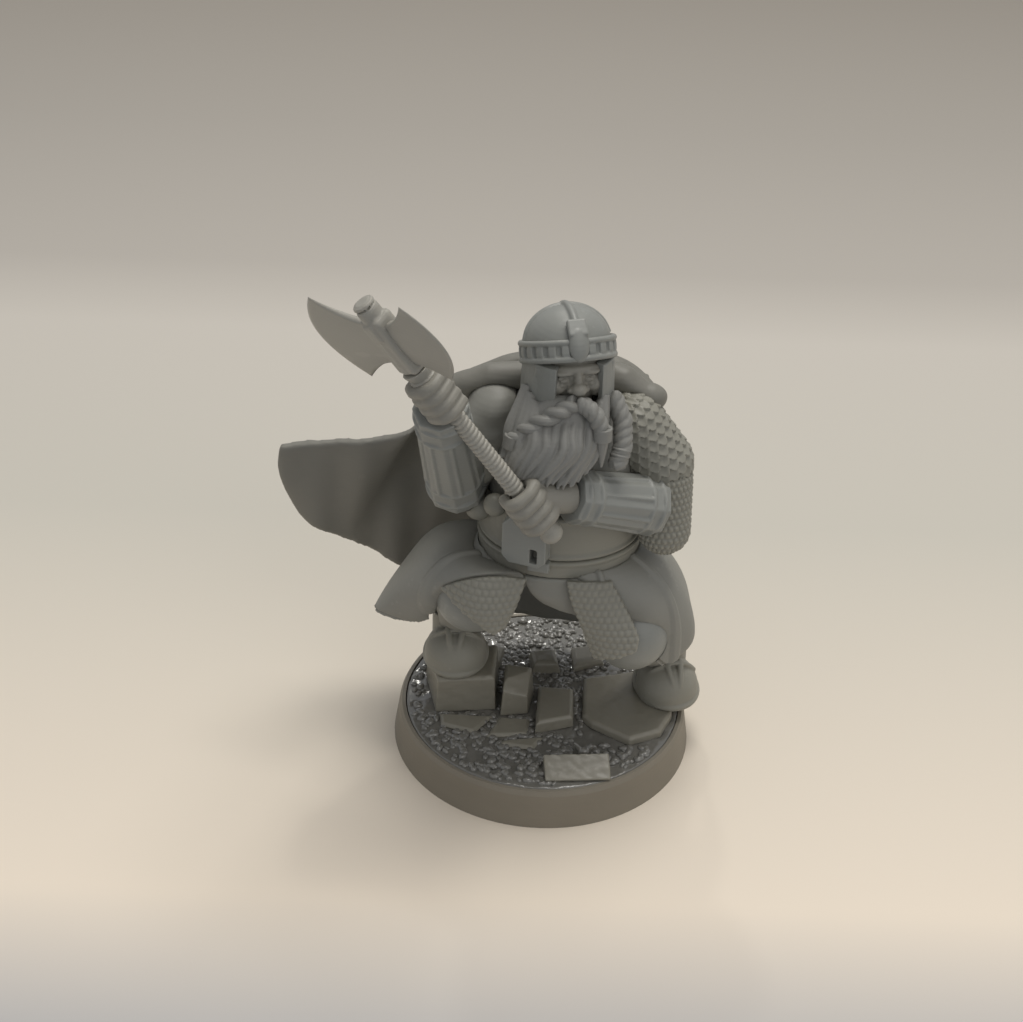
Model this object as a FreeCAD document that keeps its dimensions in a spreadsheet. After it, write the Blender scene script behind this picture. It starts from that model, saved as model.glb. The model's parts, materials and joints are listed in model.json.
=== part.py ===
# A cast warrior figure on a round scenic base, cut into the pieces it is sculpted from.
# Millimetres. The origin is the centre of the base's underside, +Z is up and the figure faces -Y.
# "Right" and "left" are the figure's own sides, so its right side lies towards -X.

import FreeCAD, Part
import os
from math import cos, radians, sin, sqrt

import Sketcher
from FreeCAD import Placement, Rotation, Vector

doc = FreeCAD.newDocument("warrior")

# ---------------------------------------------------------------- driving sizes

sizes = {
    # base
    "base_diameter": 25.0,
    "base_top_diameter": 24.1,
    "base_height": 3.3,
    "rim_width": 0.5,
    "rim_bevel": 0.4,
    "insert_depth": 1.6,
    "fit_gap": 0.05,
    "hair_shift": 0.02,
    # stones lying on the insert
    "block_height": 3.4,
    "point_height": 3.1,
    "cube_height": 1.15,
    "flag_height": 0.8,
    "slab_height": 0.35,
    "brick_length": 5.3,
    "brick_width": 2.3,
    "brick_height": 1.7,
    "rear_rock_height": 1.1,
    "stone_bevel": 0.22,
    "pebble_radius": 0.42,
    "brick_inset": 1.9,
    # legs
    "hip_height": 15.2,
    "hip_width": 11.0,
    "thigh_radius": 3.1,
    "knee_radius": 2.6,
    "shin_radius": 2.2,
    "ankle_radius": 1.9,
    "ankle_rise": 3.3,
    "guard_wall": 0.55,
    "boot_width": 5.2,
    "boot_length": 6.4,
    "boot_height": 3.5,
    # trunk
    "waist_width": 11.4,
    "waist_depth": 9.2,
    "chest_width": 12.0,
    "chest_depth": 8.8,
    "chest_height": 10.0,
    "shoulder_height": 13.5,
    "neck_height": 15.4,
    "neck_width": 4.4,
    "belt_wall": 0.5,
    "rim_wall": 0.7,
    "belt_start": 0.5,
    "belt_rim_height": 1.5,
    "belt_height": 4.0,
    "buckle_width": 3.6,
    "buckle_height": 4.1,
    "buckle_wall": 0.6,
    "slot_width": 0.6,
    "slot_height": 1.3,
    "tongue_width": 1.7,
    "tongue_height": 0.9,
    "pouch_width": 2.5,
    "pouch_height": 2.6,
    # cloth
    "cloak_thickness": 0.75,
    "skirt_thickness": 0.7,
    "mail_thickness": 0.6,
    "collar_radius": 1.15,
    # arms
    "shoulder_radius": 2.5,
    "arm_radius": 2.6,
    "elbow_radius": 2.1,
    "sleeve_radius": 2.05,
    "bracer_width": 4.6,
    "bracer_end_width": 3.9,
    "finger_width": 0.85,
    "fist_radius": 1.65,
    "palm_radius": 1.5,
    # axe
    "shaft_length": 25.2,
    "shaft_radius": 0.65,
    "hand_from_pommel": 3.9,
    "hand_from_tip": 9.35,
    "pommel_length": 1.7,
    "pommel_radius": 0.95,
    "head_from_tip": 4.1,
    "blade_rise": 8.2,
    "blade_left": 9.6,
    "blade_right": 6.4,
    "blade_tip_cut": 2.6,
    "blade_horn": 1.5,
    "blade_thickness": 0.55,
    "socket_width": 2.6,
    "socket_length": 5.4,
    "socket_thickness": 1.9,
    "collar_length": 0.9,
    "collar_width": 2.1,
    # head
    "head_width": 5.6,
    "head_depth": 6.0,
    "head_height": 6.6,
    "helmet_radius": 3.35,
    "helmet_height": 2.9,
    "band_radius": 3.62,
    "band_height": 1.5,
    "boss_width": 1.7,
    "boss_height": 2.7,
    "boss_wall": 0.35,
    "cheek_wall": 0.45,
    "cheek_length": 5.2,
    "hair_radius": 0.62,
    "ring_radius": 0.82,
    "ring_length": 1.1,
}

# Landmarks of the body: x, y and the height above the middle of the hips.
landmarks = {
    "hips": (0.75, 1.2, 0.0),
    "trunk": (0.75, 0.8, 0.0),
    "right_hip": (-2.3, 1.9, 0.0),
    "left_hip": (3.7, 1.6, 0.0),
    "right_knee": (-5.9, -2.4, -2.7),
    "left_knee": (6.8, -2.8, -5.7),
    "right_shoulder": (-4.6, 1.0, 12.2),
    "right_elbow": (-7.4, -0.9, 6.4),
    "left_shoulder": (6.0, 0.8, 11.7),
    "left_arm": (8.3, 0.3, 8.6),
    "left_elbow": (9.1, -1.1, 4.8),
    "left_wrist": (1.3, -5.4, 8.8),
    "pommel": (0.39, -7.0, 5.86),
    "head": (0.75, -1.0, 17.7),
    "helmet": (0.65, -0.9, 19.0),
}

# Directions, in degrees.
head_turn = 14.0
head_tilt = 26.0
axe_direction = Vector(-0.574, -0.060, 0.817)
axe_across = Vector(0.592, -0.720, 0.363)
feet = {"right": (-7.4, 1.9, 0.0), "left": (10.1, 1.7, 14.0)}

sheet = doc.addObject("Spreadsheet::Sheet", "size")


def fillSheet():
    values = dict(sizes)
    for name, place in landmarks.items():
        for axis, number in zip("xyz", place):
            values[f"{name}_{axis}"] = number
    for row, (name, number) in enumerate(values.items(), start=1):
        sheet.set(f"A{row}", name)
        sheet.set(f"B{row}", str(number))
        sheet.setAlias(f"B{row}", name)
    doc.recompute()


fillSheet()


def worth(expression):
    return float(sheet.evalExpression(expression))


def val(name):
    return float(getattr(sheet, name))


def onGround(x, y, height=0.0):
    return Vector(x, y, val("base_height") + height)


def onBody(x, y, height):
    return onGround(x, y, val("hip_height") + height)


def mark(name):
    return onBody(val(name + "_x"), val(name + "_y"), val(name + "_z"))


# ---------------------------------------------------------------- building blocks


def add(kind, name, **bound):
    item = doc.addObject(kind, name)
    for prop, expression in bound.items():
        item.setExpression(prop, expression)
    return item


def place(item, base, rotation=None):
    item.Placement = Placement(base, rotation or Rotation())
    return item


def join(name, items):
    union = doc.addObject("Part::MultiFuse", name)
    union.Shapes = items
    return union


def group(name, items):
    bundle = doc.addObject("Part::Compound", name)
    bundle.Links = items
    return bundle


def sound(item):
    return "Invalid" not in item.State and not item.Shape.isNull() and item.Shape.isValid()


def carve(name, item, tools):
    """The item with every tool that reaches it taken away, so that they meet face to face.

    Where two curved faces only graze, the cut has no clean answer, so the item shifts by a hair.
    """
    doc.recompute()
    form = item
    for i, tool in enumerate(tools):
        if not tool.Shape.BoundBox.intersect(item.Shape.BoundBox):
            continue
        cut = doc.addObject("Part::Cut", f"{name}{i}")
        cut.Base = item
        cut.Tool = tool
        doc.recompute()
        shifts = 0
        while not sound(cut) and shifts < 6:
            shifts += 1
            hair = val("hair_shift") * shifts * (-1) ** shifts
            form.Placement.move(Vector(hair, hair * 0.7, hair * 0.4))
            form.touch()
            doc.recompute()
        item = cut
    return item


def ball(name, centre, radius_x, radius_y, radius_z, rotation=None):
    item = add("Part::Ellipsoid", name, Radius1=radius_z, Radius2=radius_x, Radius3=radius_y)
    return place(item, centre, rotation)


def sphere(name, centre, radius):
    return place(add("Part::Sphere", name, Radius=radius), centre)


def cone(name, start, end, radius_start, radius_end):
    item = add("Part::Cone", name, Radius1=radius_start, Radius2=radius_end)
    item.Height = (end - start).Length
    return place(item, start, Rotation(Vector(0, 0, 1), end - start))


def tube(name, start, end, radius):
    item = add("Part::Cylinder", name, Radius=radius)
    item.Height = (end - start).Length
    return place(item, start, Rotation(Vector(0, 0, 1), end - start))


def capsule(name, start, end, radius_start, radius_end):
    """A round limb turned in one piece: a domed end, a tapering side and a domed end."""
    owner = body(name)
    drawing = sketch(owner, "XZ_Plane", name + "_profile")
    low, high, span = worth(radius_start), worth(radius_end), (end - start).Length
    bottom, top = Vector(0, 0, 0), Vector(0, span, 0)
    side = sqrt(0.5)
    drawing.addGeometry(Part.Arc(Vector(0, -low, 0), Vector(low * side, -low * side, 0),
                                 Vector(low, 0, 0)))
    drawing.addGeometry(Part.LineSegment(Vector(low, 0, 0), Vector(high, span, 0)))
    drawing.addGeometry(Part.Arc(Vector(high, span, 0),
                                 Vector(high * side, span + high * side, 0),
                                 Vector(0, span + high, 0)))
    drawing.addGeometry(Part.LineSegment(Vector(0, span + high, 0), Vector(0, -low, 0)))
    turned(owner, drawing, name + "_turned")
    owner.Placement = Placement(start, Rotation(Vector(0, 0, 1), end - start))
    return owner


def pipe(name, points, radii):
    """A bent tube through round sections, one at each point."""
    rings = []
    last = len(points) - 1
    for i, (point, radius) in enumerate(zip(points, radii)):
        ahead = points[min(i + 1, last)] - points[max(i - 1, 0)]
        ring = add("Part::Circle", f"{name}_ring{i}", Radius=radius)
        rings.append(place(ring, point, Rotation(Vector(0, 0, 1), ahead)))
    loft = doc.addObject("Part::Loft", name)
    loft.Sections = rings
    loft.Solid = True
    loft.Ruled = True
    return loft


def barrel(name, rings):
    """A smooth solid through level ellipses: centre, width expression, depth expression."""
    outlines = []
    for i, (centre, width, depth) in enumerate(rings):
        wide = worth(width) >= worth(depth)
        major, minor = (width, depth) if wide else (depth, width)
        turn = Rotation() if wide else Rotation(Vector(0, 0, 1), 90)
        ring = add("Part::Ellipse", f"{name}_ring{i}")
        ring.setExpression("MajorRadius", f"({major}) / 2")
        ring.setExpression("MinorRadius", f"({minor}) / 2")
        outlines.append(place(ring, centre, turn))
    loft = doc.addObject("Part::Loft", name)
    loft.Sections = outlines
    loft.Solid = True
    loft.Ruled = True
    return loft


def body(name):
    return doc.addObject("PartDesign::Body", name)


def plane(owner, role):
    return next(item for item in owner.Origin.OriginFeatures if item.Role == role)


def sketch(owner, role, name):
    drawing = owner.newObject("Sketcher::SketchObject", name)
    drawing.AttachmentSupport = [(plane(owner, role), "")]
    drawing.MapMode = "FlatFace"
    return drawing


def outline(owner, role, name, corners):
    """A closed sketch whose corners are pairs of expressions, each one a driving dimension."""
    drawing = sketch(owner, role, name)
    points = [Vector(worth(x), worth(y), 0) for x, y in corners]
    count = len(points)
    for i in range(count):
        drawing.addGeometry(Part.LineSegment(points[i], points[(i + 1) % count]))
    for i in range(count):
        drawing.addConstraint(Sketcher.Constraint("Coincident", i, 2, (i + 1) % count, 1))
    for i, (x, y) in enumerate(corners):
        for kind, expression in (("DistanceX", x), ("DistanceY", y)):
            limit = Sketcher.Constraint(kind, -1, 1, i, 1, worth(expression))
            number = drawing.addConstraint(limit)
            drawing.setExpression(f"Constraints[{number}]", expression)
    return drawing


def freeOutline(owner, role, name, corners):
    """A closed sketch of a broken stone, held where its corners lie."""
    return outline(owner, role, name, [(str(x), str(y)) for x, y in corners])


def pad(owner, drawing, name, length, both=False, taper=0.0):
    feature = owner.newObject("PartDesign::Pad", name)
    feature.Profile = drawing
    feature.setExpression("Length", length)
    feature.Midplane = both
    feature.TaperAngle = taper
    return feature


def turned(owner, drawing, name, angle=360.0):
    feature = owner.newObject("PartDesign::Revolution", name)
    feature.Profile = drawing
    feature.ReferenceAxis = (drawing, ["V_Axis"])
    feature.Angle = angle
    feature.Midplane = angle < 360.0
    return feature


def topFace(feature):
    faces = feature.Shape.Faces
    highest = max(range(len(faces)), key=lambda i: faces[i].CenterOfMass.z)
    return f"Face{highest + 1}"


def bevelTop(owner, feature, name, size):
    doc.recompute()
    edge = owner.newObject("PartDesign::Chamfer", name)
    edge.Base = (feature, [topFace(feature)])
    edge.setExpression("Size", size)
    return edge


def through(rows):
    """A smooth surface through every point of the rows."""
    skin = Part.BSplineSurface()
    skin.interpolate(rows)
    return skin


def draped(rows):
    """A softer surface, which the points pull on without its passing through them all."""
    skin = Part.BSplineSurface()
    counts = []
    knots = []
    for points in (len(rows), len(rows[0])):
        counts.append([3] + [1] * (points - 3) + [3])
        knots.append(list(range(points - 1)))
    skin.buildFromPolesMultsKnots(rows, *counts, *knots, False, False, 2, 2)
    return skin


def cloth(name, skin, rows, thickness):
    """A closed sheet: the surface pushed out along the mean normal of its rows."""
    outward = Vector(0, 0, 0)
    for upper, lower in zip(rows, rows[1:]):
        for j in range(len(upper) - 1):
            outward += (lower[j + 1] - upper[j]).cross(upper[j + 1] - lower[j])
    item = doc.addObject("Part::Feature", name)
    item.Shape = skin.toShape().extrude(outward.normalize() * thickness)
    item.Placement = Placement()
    return item


nodes = []


def keep(label, item, many=False):
    """Hands the item over as a named piece, without the loose chips that a cut leaves."""
    doc.recompute()
    if not many and len(item.Shape.Solids) > 1:
        main = max(item.Shape.Solids, key=lambda solid: solid.Volume)
        piece = doc.addObject("Part::Feature", label + "_main")
        piece.Shape = main
        piece.Placement = Placement()
        item = piece
    item.Label = label
    nodes.append((label, item, many))
    return item


def piece(label, form, tools):
    """Keeps the form without the tools, and returns the whole form to cut later pieces with."""
    keep(label, carve(label + "_cut", form, tools))
    return form


# ---------------------------------------------------------------- base and its stones


def basePlinth():
    owner = body("plinth")
    profile = outline(owner, "XZ_Plane", "plinth_profile", [
        ("0", "0"),
        ("size.base_diameter / 2", "0"),
        ("size.base_top_diameter / 2", "size.base_height - size.rim_bevel"),
        ("size.base_top_diameter / 2 - size.rim_bevel / 2", "size.base_height"),
        ("size.base_top_diameter / 2 - size.rim_width", "size.base_height"),
        ("size.base_top_diameter / 2 - size.rim_width", "size.base_height - size.insert_depth"),
        ("0", "size.base_height - size.insert_depth"),
    ])
    turned(owner, profile, "plinth_turned")
    return keep("base_plinth", owner)


def baseGround():
    owner = body("ground")
    reach = "size.base_top_diameter / 2 - size.rim_width - size.fit_gap"
    profile = outline(owner, "XZ_Plane", "ground_profile", [
        ("0", "0"),
        (reach, "0"),
        (reach, "size.insert_depth"),
        ("0", "size.insert_depth"),
    ])
    turned(owner, profile, "ground_turned")
    owner.Placement = Placement(onGround(0, 0, -val("insert_depth")), Rotation())
    return keep("base_ground", owner)


def rimPoint(angle, inset):
    """A place on the insert, measured inwards from its edge."""
    radius = val("base_top_diameter") / 2 - val("rim_width") - inset
    return radius * cos(radians(angle)), radius * sin(radians(angle))


def stoneBody(name, corners, height, taper):
    owner = body(name)
    drawing = freeOutline(owner, "XY_Plane", name + "_outline", corners)
    block = pad(owner, drawing, name + "_pad", height, taper=taper)
    bevelTop(owner, block, name + "_bevel", "size.stone_bevel")
    owner.Placement = Placement(onGround(0, 0), Rotation())
    return owner


def facet(name, stone, corner, tilt_axis, tilt):
    """A stone with one slanting break across it, through the corner given."""
    slab = doc.addObject("Part::Box", name + "_break")
    slab.Length = slab.Width = slab.Height = 12.0
    turn = Rotation(tilt_axis, tilt)
    place(slab, corner - turn.multVec(Vector(6, 6, 0)), turn)
    return carve(name + "_cut", stone, [slab])


def stones(ground):
    step = stoneBody("step", [(-3.9, -1.9), (-8.9, -2.5), (-10.0, 2.4), (-3.75, 3.0)],
                     "size.block_height", -3.0)
    keep("step_block", step)
    pointed = stoneBody("pointed", [(-1.2, -2.3), (-3.5, -2.7), (-3.4, 0.9), (-0.7, 0.4)],
                        "size.point_height", -4.0)
    keep("pointed_stone", facet("pointed", pointed, onGround(-2.0, -1.9, 2.3), Vector(1, 0.6, 0), 42.0))
    cube = stoneBody("cube", [(2.6, -3.8), (-0.6, -4.9), (-0.4, 0.3), (2.7, 0.1)],
                     "size.cube_height", -5.0)
    keep("cube_stone", cube)
    flag = stoneBody("flag", [(4.1, -4.0), (3.3, -3.0), (3.5, 2.0), (9.4, 3.6), (11.0, 1.0),
                              (10.9, -2.4), (9.8, -4.8), (7.2, -6.0)],
                     "size.flag_height", -6.0)
    keep("flagstone", flag)

    brick = add("Part::Box", "brick", Length="size.brick_length", Width="size.brick_width",
                Height="size.brick_height")
    x, y = rimPoint(-73, val("brick_inset"))
    turn = Rotation(Vector(0, 0, 1), 5).multiply(Rotation(Vector(1, 0, 0), 24))
    middle = turn.multVec(Vector(val("brick_length") / 2, val("brick_width") / 2, 0.9))
    place(brick, onGround(x, y) - middle, turn)
    piece("wedge_brick", brick, [ground])

    slabs = [
        [(-4.0, -2.9), (-5.6, -5.2), (-8.4, -4.3), (-8.6, -2.8)],
        [(-1.0, -3.1), (-1.1, -5.3), (-4.6, -5.6), (-3.6, -3.0)],
        [(0.2, -5.3), (-0.7, -7.0), (-3.6, -6.6), (-3.2, -5.9)],
    ]
    flat = [stoneBody(f"slab{i}", corners, "size.slab_height", -8.0)
            for i, corners in enumerate(slabs)]
    keep("low_slabs", group("slabs", flat), many=True)

    rears = [
        [(1.6, 3.2), (-0.9, 3.0), (-1.3, 5.3), (1.2, 5.8)],
        [(-3.6, 3.6), (-6.0, 3.5), (-5.8, 6.3), (-3.2, 6.0)],
        [(5.4, 4.4), (2.6, 3.4), (2.4, 6.4), (4.6, 7.0)],
    ]
    back = [stoneBody(f"rear{i}", corners, f"size.rear_rock_height * {1 - 0.2 * i}", -14.0)
            for i, corners in enumerate(rears)]
    keep("rear_rocks", group("rears", back), many=True)


def pebbles():
    """Half-round cobbles in arcs along the front of the insert."""
    rows = [(1.0, -156, -96, 13), (2.1, -150, -98, 10), (3.2, -138, -100, 7), (1.0, -50, -26, 5)]
    items = []
    for inset, first, last, count in rows:
        for i in range(count):
            x, y = rimPoint(first + (last - first) * i / (count - 1), inset)
            item = sphere(f"pebble{len(items)}", onGround(x, y), "size.pebble_radius")
            item.Angle1 = 0
            items.append(item)
    return keep("pebbles", group("pebble_group", items), many=True)


def sprout(ground):
    """Three short leaves growing from one spot."""
    root = onGround(3.4, -6.9, -0.2)
    leaves = []
    for i, (turn, lean, rise) in enumerate(((35, 0.75, 1.3), (150, 1.0, 1.15), (262, 0.85, 1.5))):
        tip = root + Vector(lean * cos(radians(turn)), lean * sin(radians(turn)), rise)
        leaves.append(cone(f"leaf{i}", root, tip, "0.42", "0.16"))
    return piece("sprout", join("leaves", leaves), [ground])


# ---------------------------------------------------------------- legs


def boot(side, stone_height):
    x, y, turn = feet[side]
    sole = onGround(x, y, val(stone_height))
    spin = Rotation(Vector(0, 0, 1), turn)

    def local(dx, dy, dz):
        return sole + spin.multVec(Vector(dx, dy, dz))

    toe = ball(side + "_toe", local(0, -1.5, 0.9), "size.boot_width / 2",
               "size.boot_length * 0.42", "size.boot_height - 0.9", spin)
    heel = ball(side + "_heel", local(0, 0.5, 1.1), "size.boot_width * 0.4",
                "size.boot_length * 0.3", "size.boot_height - 0.9", spin)
    cuff = tube(side + "_cuff", local(0, 0.3, 1.2), local(0, 0.5, val("ankle_rise") + 0.7),
                "size.ankle_radius + 0.15")
    floor = doc.addObject("Part::Box", side + "_floor")
    floor.Length = floor.Width = 14
    floor.Height = 6
    place(floor, sole - Vector(7, 7, 6))
    whole = join(side + "_boot_form", [toe, heel, cuff])
    return piece(side + "_boot", whole, [floor])


def ankle(side, stone_height):
    x, y, turn = feet[side]
    return onGround(x, y + 0.4, val(stone_height) + val("ankle_rise"))


def legs(above):
    boots = {"right": boot("right", "block_height"), "left": boot("left", "flag_height")}
    stone = {"right": "block_height", "left": "flag_height"}
    hips = ball("hip_form", mark("hips"), "size.hip_width / 2", "size.hip_width * 0.4", "3.2")
    hips = piece("hips", hips, above)
    taken = [*above, hips]
    for side in ("right", "left"):
        knee = mark(side + "_knee")
        thigh = capsule(side + "_thigh_form", mark(side + "_hip"), knee,
                        "size.thigh_radius", "size.knee_radius")
        thigh = piece(side + "_thigh", thigh, list(taken))
        taken.append(thigh)
        shin = capsule(side + "_shin_form", knee + Vector(0, 0.9, -0.9), ankle(side, stone[side]),
                       "size.shin_radius", "size.ankle_radius")
        shin = piece(side + "_shin", shin, [boots[side], *taken])
        taken.append(shin)
        guard = sphere(side + "_guard_form", knee, "size.knee_radius + size.guard_wall")
        guard.Angle1 = 0
        guard.Placement = Placement(knee, Rotation(Vector(0, 0, 1), Vector(0, -0.94, -0.34)))
        guard = piece(side + "_knee_guard", guard, [*taken, boots[side]])
        taken.append(guard)
    return taken[len(above):] + list(boots.values())


# ---------------------------------------------------------------- trunk, belt and cloth


def level(height, forward=0.0):
    return onBody(val("trunk_x"), val("trunk_y") - forward, height)


def torso():
    start = val("belt_start")
    waist = start + val("belt_rim_height") + val("belt_height") - 0.6
    return keep("torso", barrel("torso_form", [
        (level(start), "size.waist_width", "size.waist_depth"),
        (level(waist), "size.waist_width + 0.3", "size.waist_depth + 0.3"),
        (level(val("chest_height")), "size.chest_width", "size.chest_depth"),
        (level(val("shoulder_height")), "size.chest_width * 0.72", "size.chest_depth * 0.74"),
        (level(val("neck_height")), "size.neck_width", "size.neck_width - 0.3"),
    ]))


def belts(trunk):
    low = val("belt_start")
    middle = low + val("belt_rim_height")
    high = middle + val("belt_height")
    wide = "size.waist_width + 0.15 + 2 * size.{}"
    deep = "size.waist_depth + 0.15 + 2 * size.{}"
    rim = barrel("belt_rim_form", [
        (level(low), wide.format("rim_wall"), deep.format("rim_wall")),
        (level(middle), wide.format("rim_wall"), deep.format("rim_wall")),
    ])
    rim = piece("belt_rim", rim, [trunk])
    main = barrel("belt_form", [
        (level(middle), wide.format("belt_wall"), deep.format("belt_wall")),
        (level(high), wide.format("belt_wall") + " + 0.2", deep.format("belt_wall") + " + 0.2"),
    ])
    main = piece("belt_wide", main, [trunk])
    return rim, main


def aroundBelt(angle, out, height):
    """A place on the belt rim's outline; 0 degrees is the left side and -90 the front."""
    across = val("waist_width") / 2 + val("rim_wall") + out
    along = val("waist_depth") / 2 + val("rim_wall") + out
    return level(height) + Vector(across * cos(radians(angle)), along * sin(radians(angle)), 0)


def buckle(taken):
    angle = -114.0
    middle = val("belt_start") + val("belt_rim_height") + val("belt_height") / 2
    seat = aroundBelt(angle, -val("rim_wall"), middle)
    turn = Rotation(Vector(0, 0, 1), -19.0).multiply(Rotation(Vector(1, 0, 0), 90))
    half_w, half_h = "size.buckle_width / 2", "size.buckle_height / 2"
    cut = " - 0.6"
    owner = body("buckle")
    frame = outline(owner, "XY_Plane", "buckle_outline", [
        (half_w, "-(" + half_h + cut + ")"), (half_w, half_h + cut),
        (half_w + cut, half_h), ("-(" + half_w + cut + ")", half_h),
        ("-" + half_w, half_h + cut), ("-" + half_w, "-(" + half_h + cut + ")"),
        ("-(" + half_w + cut + ")", "-" + half_h), (half_w + cut, "-" + half_h),
    ])
    pad(owner, frame, "buckle_pad", "size.buckle_wall + size.belt_wall + 0.6")
    doc.recompute()
    before = owner.Shape.Volume
    slot = outline(owner, "XY_Plane", "buckle_slot", [
        ("0.5", "-0.4"), ("0.5 + size.slot_width", "-0.4"),
        ("0.5 + size.slot_width", "-0.4 - size.slot_height"), ("0.5", "-0.4 - size.slot_height"),
    ])
    pocket = owner.newObject("PartDesign::Pocket", "buckle_slot_cut")
    pocket.Profile = slot
    pocket.Type = "ThroughAll"
    pocket.Reversed = True
    doc.recompute()
    assert owner.Shape.Volume < before, "the buckle's slot cut nothing"
    owner.Placement = Placement(seat, turn)
    plate = piece("buckle_plate", owner, taken)

    tongue = add("Part::Box", "tongue", Length="size.tongue_width", Width="size.buckle_wall + 0.5",
                 Height="size.tongue_height")
    low = val("belt_start") + val("belt_rim_height") / 2
    corner = aroundBelt(-104.0, 0.0, low)
    spin = Rotation(Vector(0, 0, 1), -13.0)
    place(tongue, corner - spin.multVec(Vector(val("tongue_width") / 2, 0.55, 0)), spin)
    piece("buckle_tongue", tongue, [*taken, plate])
    return plate


def columns(tops, drops):
    """Rows of points for a hanging cloth: each column starts at its top and drops by offsets."""
    rows = [tops]
    for i in range(len(drops[0])):
        rows.append([top + Vector(*drop[i]) for top, drop in zip(tops, drops)])
    return rows


def skirts(taken):
    inset = -0.35
    top = val("belt_start") - 0.05
    wall = val("skirt_thickness")

    left = columns(
        [aroundBelt(angle, inset, top) for angle in (-79, -50, -15, 18)],
        [[(2.4, -0.6, -2.8), (5.0, -0.4, -6.0), (7.5, 0.3, -9.0)],
         [(2.5, -1.0, -2.2), (4.5, -0.6, -5.2), (5.9, 0.4, -8.4)],
         [(2.3, -0.6, -1.6), (4.1, -0.3, -4.4), (4.8, 0.1, -7.5)],
         [(2.3, 0.7, -2.0), (3.9, 1.3, -4.8), (4.6, 1.9, -7.8)]])
    right = columns(
        [aroundBelt(angle, 0.1, top) for angle in (-118, -142, -168, 155)],
        [[(-3.1, -1.0, 0.5), (-6.3, -0.1, -1.5), (-7.5, 1.4, -5.5)],
         [(-2.9, -0.5, 0.3), (-5.6, -0.3, -2.0), (-7.3, 0.4, -6.0)],
         [(-3.1, -0.3, 0.0), (-5.9, -0.5, -2.6), (-8.3, -0.8, -6.2)],
         [(-3.6, 0.0, -0.4), (-6.4, -0.5, -3.4), (-8.8, -2.0, -7.1)]])
    mail_right = [
        [onBody(-8.4, -4.0, -1.0), onBody(-5.2, -5.3, 1.0), onBody(-1.8, -4.7, 0.6)],
        [onBody(-6.9, -5.7, -1.7), onBody(-4.8, -6.3, -0.7), onBody(-2.3, -5.6, -0.8)],
        [onBody(-4.9, -6.4, -3.0), onBody(-4.1, -6.6, -3.4), onBody(-3.3, -6.2, -3.0)],
    ]
    mail_left = [
        [onBody(1.4, -4.5, 0.4), onBody(3.2, -4.5, 0.4), onBody(4.8, -4.1, 0.3)],
        [onBody(2.0, -5.0, -1.6), onBody(4.2, -5.4, -1.8), onBody(6.2, -5.0, -2.0)],
        [onBody(2.9, -5.4, -3.8), onBody(5.0, -6.1, -3.9), onBody(7.2, -6.0, -4.0)],
        [onBody(3.8, -5.6, -6.1), onBody(5.2, -6.4, -5.6), onBody(6.9, -6.3, -5.0)],
    ]
    tunic = [
        [onBody(-2.0, -3.7, 0.4), onBody(0.3, -4.0, 0.4), onBody(2.4, -3.8, 0.4)],
        [onBody(-1.4, -3.9, -1.0), onBody(0.6, -4.2, -1.2), onBody(2.6, -4.0, -1.4)],
        [onBody(-0.4, -3.7, -2.2), onBody(0.9, -4.0, -2.6), onBody(2.4, -3.9, -3.2)],
    ]
    mail = val("mail_thickness")
    found = []
    for label, rows, wall_now in (
        ("mail_flap_right", mail_right, mail),
        ("mail_flap_left", mail_left, mail),
        ("under_tunic", tunic, mail),
        ("skirt_left", left, wall),
        ("skirt_right", right, wall),
    ):
        sheet_form = cloth(label + "_form", through(rows), rows, wall_now)
        found.append(piece(label, sheet_form, taken + found))
    return found


def pouches(taken):
    spots = [(-5.6, -1.5, 8.6, 1.0), (-5.7, -1.3, 4.9, 0.9), (-4.4, -3.0, 6.2, 0.75)]
    items = []
    for i, (x, y, height, share) in enumerate(spots):
        form = ball(f"pouch{i}", onBody(x, y, height), f"size.pouch_width / 2 * {share}",
                    f"size.pouch_width / 2 * {share * 0.9}", f"size.pouch_height / 2 * {share}")
        items.append(carve(f"pouch{i}_cut", form, taken + items))
    return keep("side_pouches", group("pouch_group", items), many=True)


def cloak(taken):
    """Hangs from the collars behind the body and blows out to the figure's right."""
    tops = [onBody(*spot) for spot in (
        (7.4, 4.6, 13.4), (1.0, 5.0, 15.2), (-4.2, 4.6, 14.4), (-8.2, 4.1, 12.9),
        (-10.5, 4.2, 8.9), (-12.0, 4.2, 7.4), (-16.8, 4.8, 6.5), (-22.0, 5.0, 5.8))]
    drops = [
        [(0.8, 1.9, -6.2), (0.4, 2.6, -16.2), (-0.9, 2.3, -25.2)],
        [(0.0, 2.4, -7.5), (-0.4, 3.1, -17.5), (-0.7, 1.6, -27.6)],
        [(-1.2, 2.8, -6.7), (-1.2, 3.6, -15.7), (-0.7, 2.2, -25.5)],
        [(-1.3, 2.3, -6.2), (-2.3, 3.3, -13.2), (-2.8, 2.8, -20.7)],
        [(-1.7, 2.4, -4.6), (-3.2, 3.0, -9.2), (-5.1, 2.2, -13.6)],
        [(-1.8, 0.8, -4.0), (-3.9, 1.0, -7.4), (-6.2, 0.8, -10.2)],
        [(-1.8, 0.0, -3.3), (-3.3, 0.0, -6.0), (-3.9, 0.2, -7.6)],
        [(-0.4, 0.0, -1.5), (0.0, 0.0, -3.7), (0.6, 0.2, -5.3)],
    ]
    rows = columns(tops, drops)
    form = cloth("cloak_form", draped(rows), rows, val("cloak_thickness"))
    return piece("cloak", form, taken)


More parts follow.
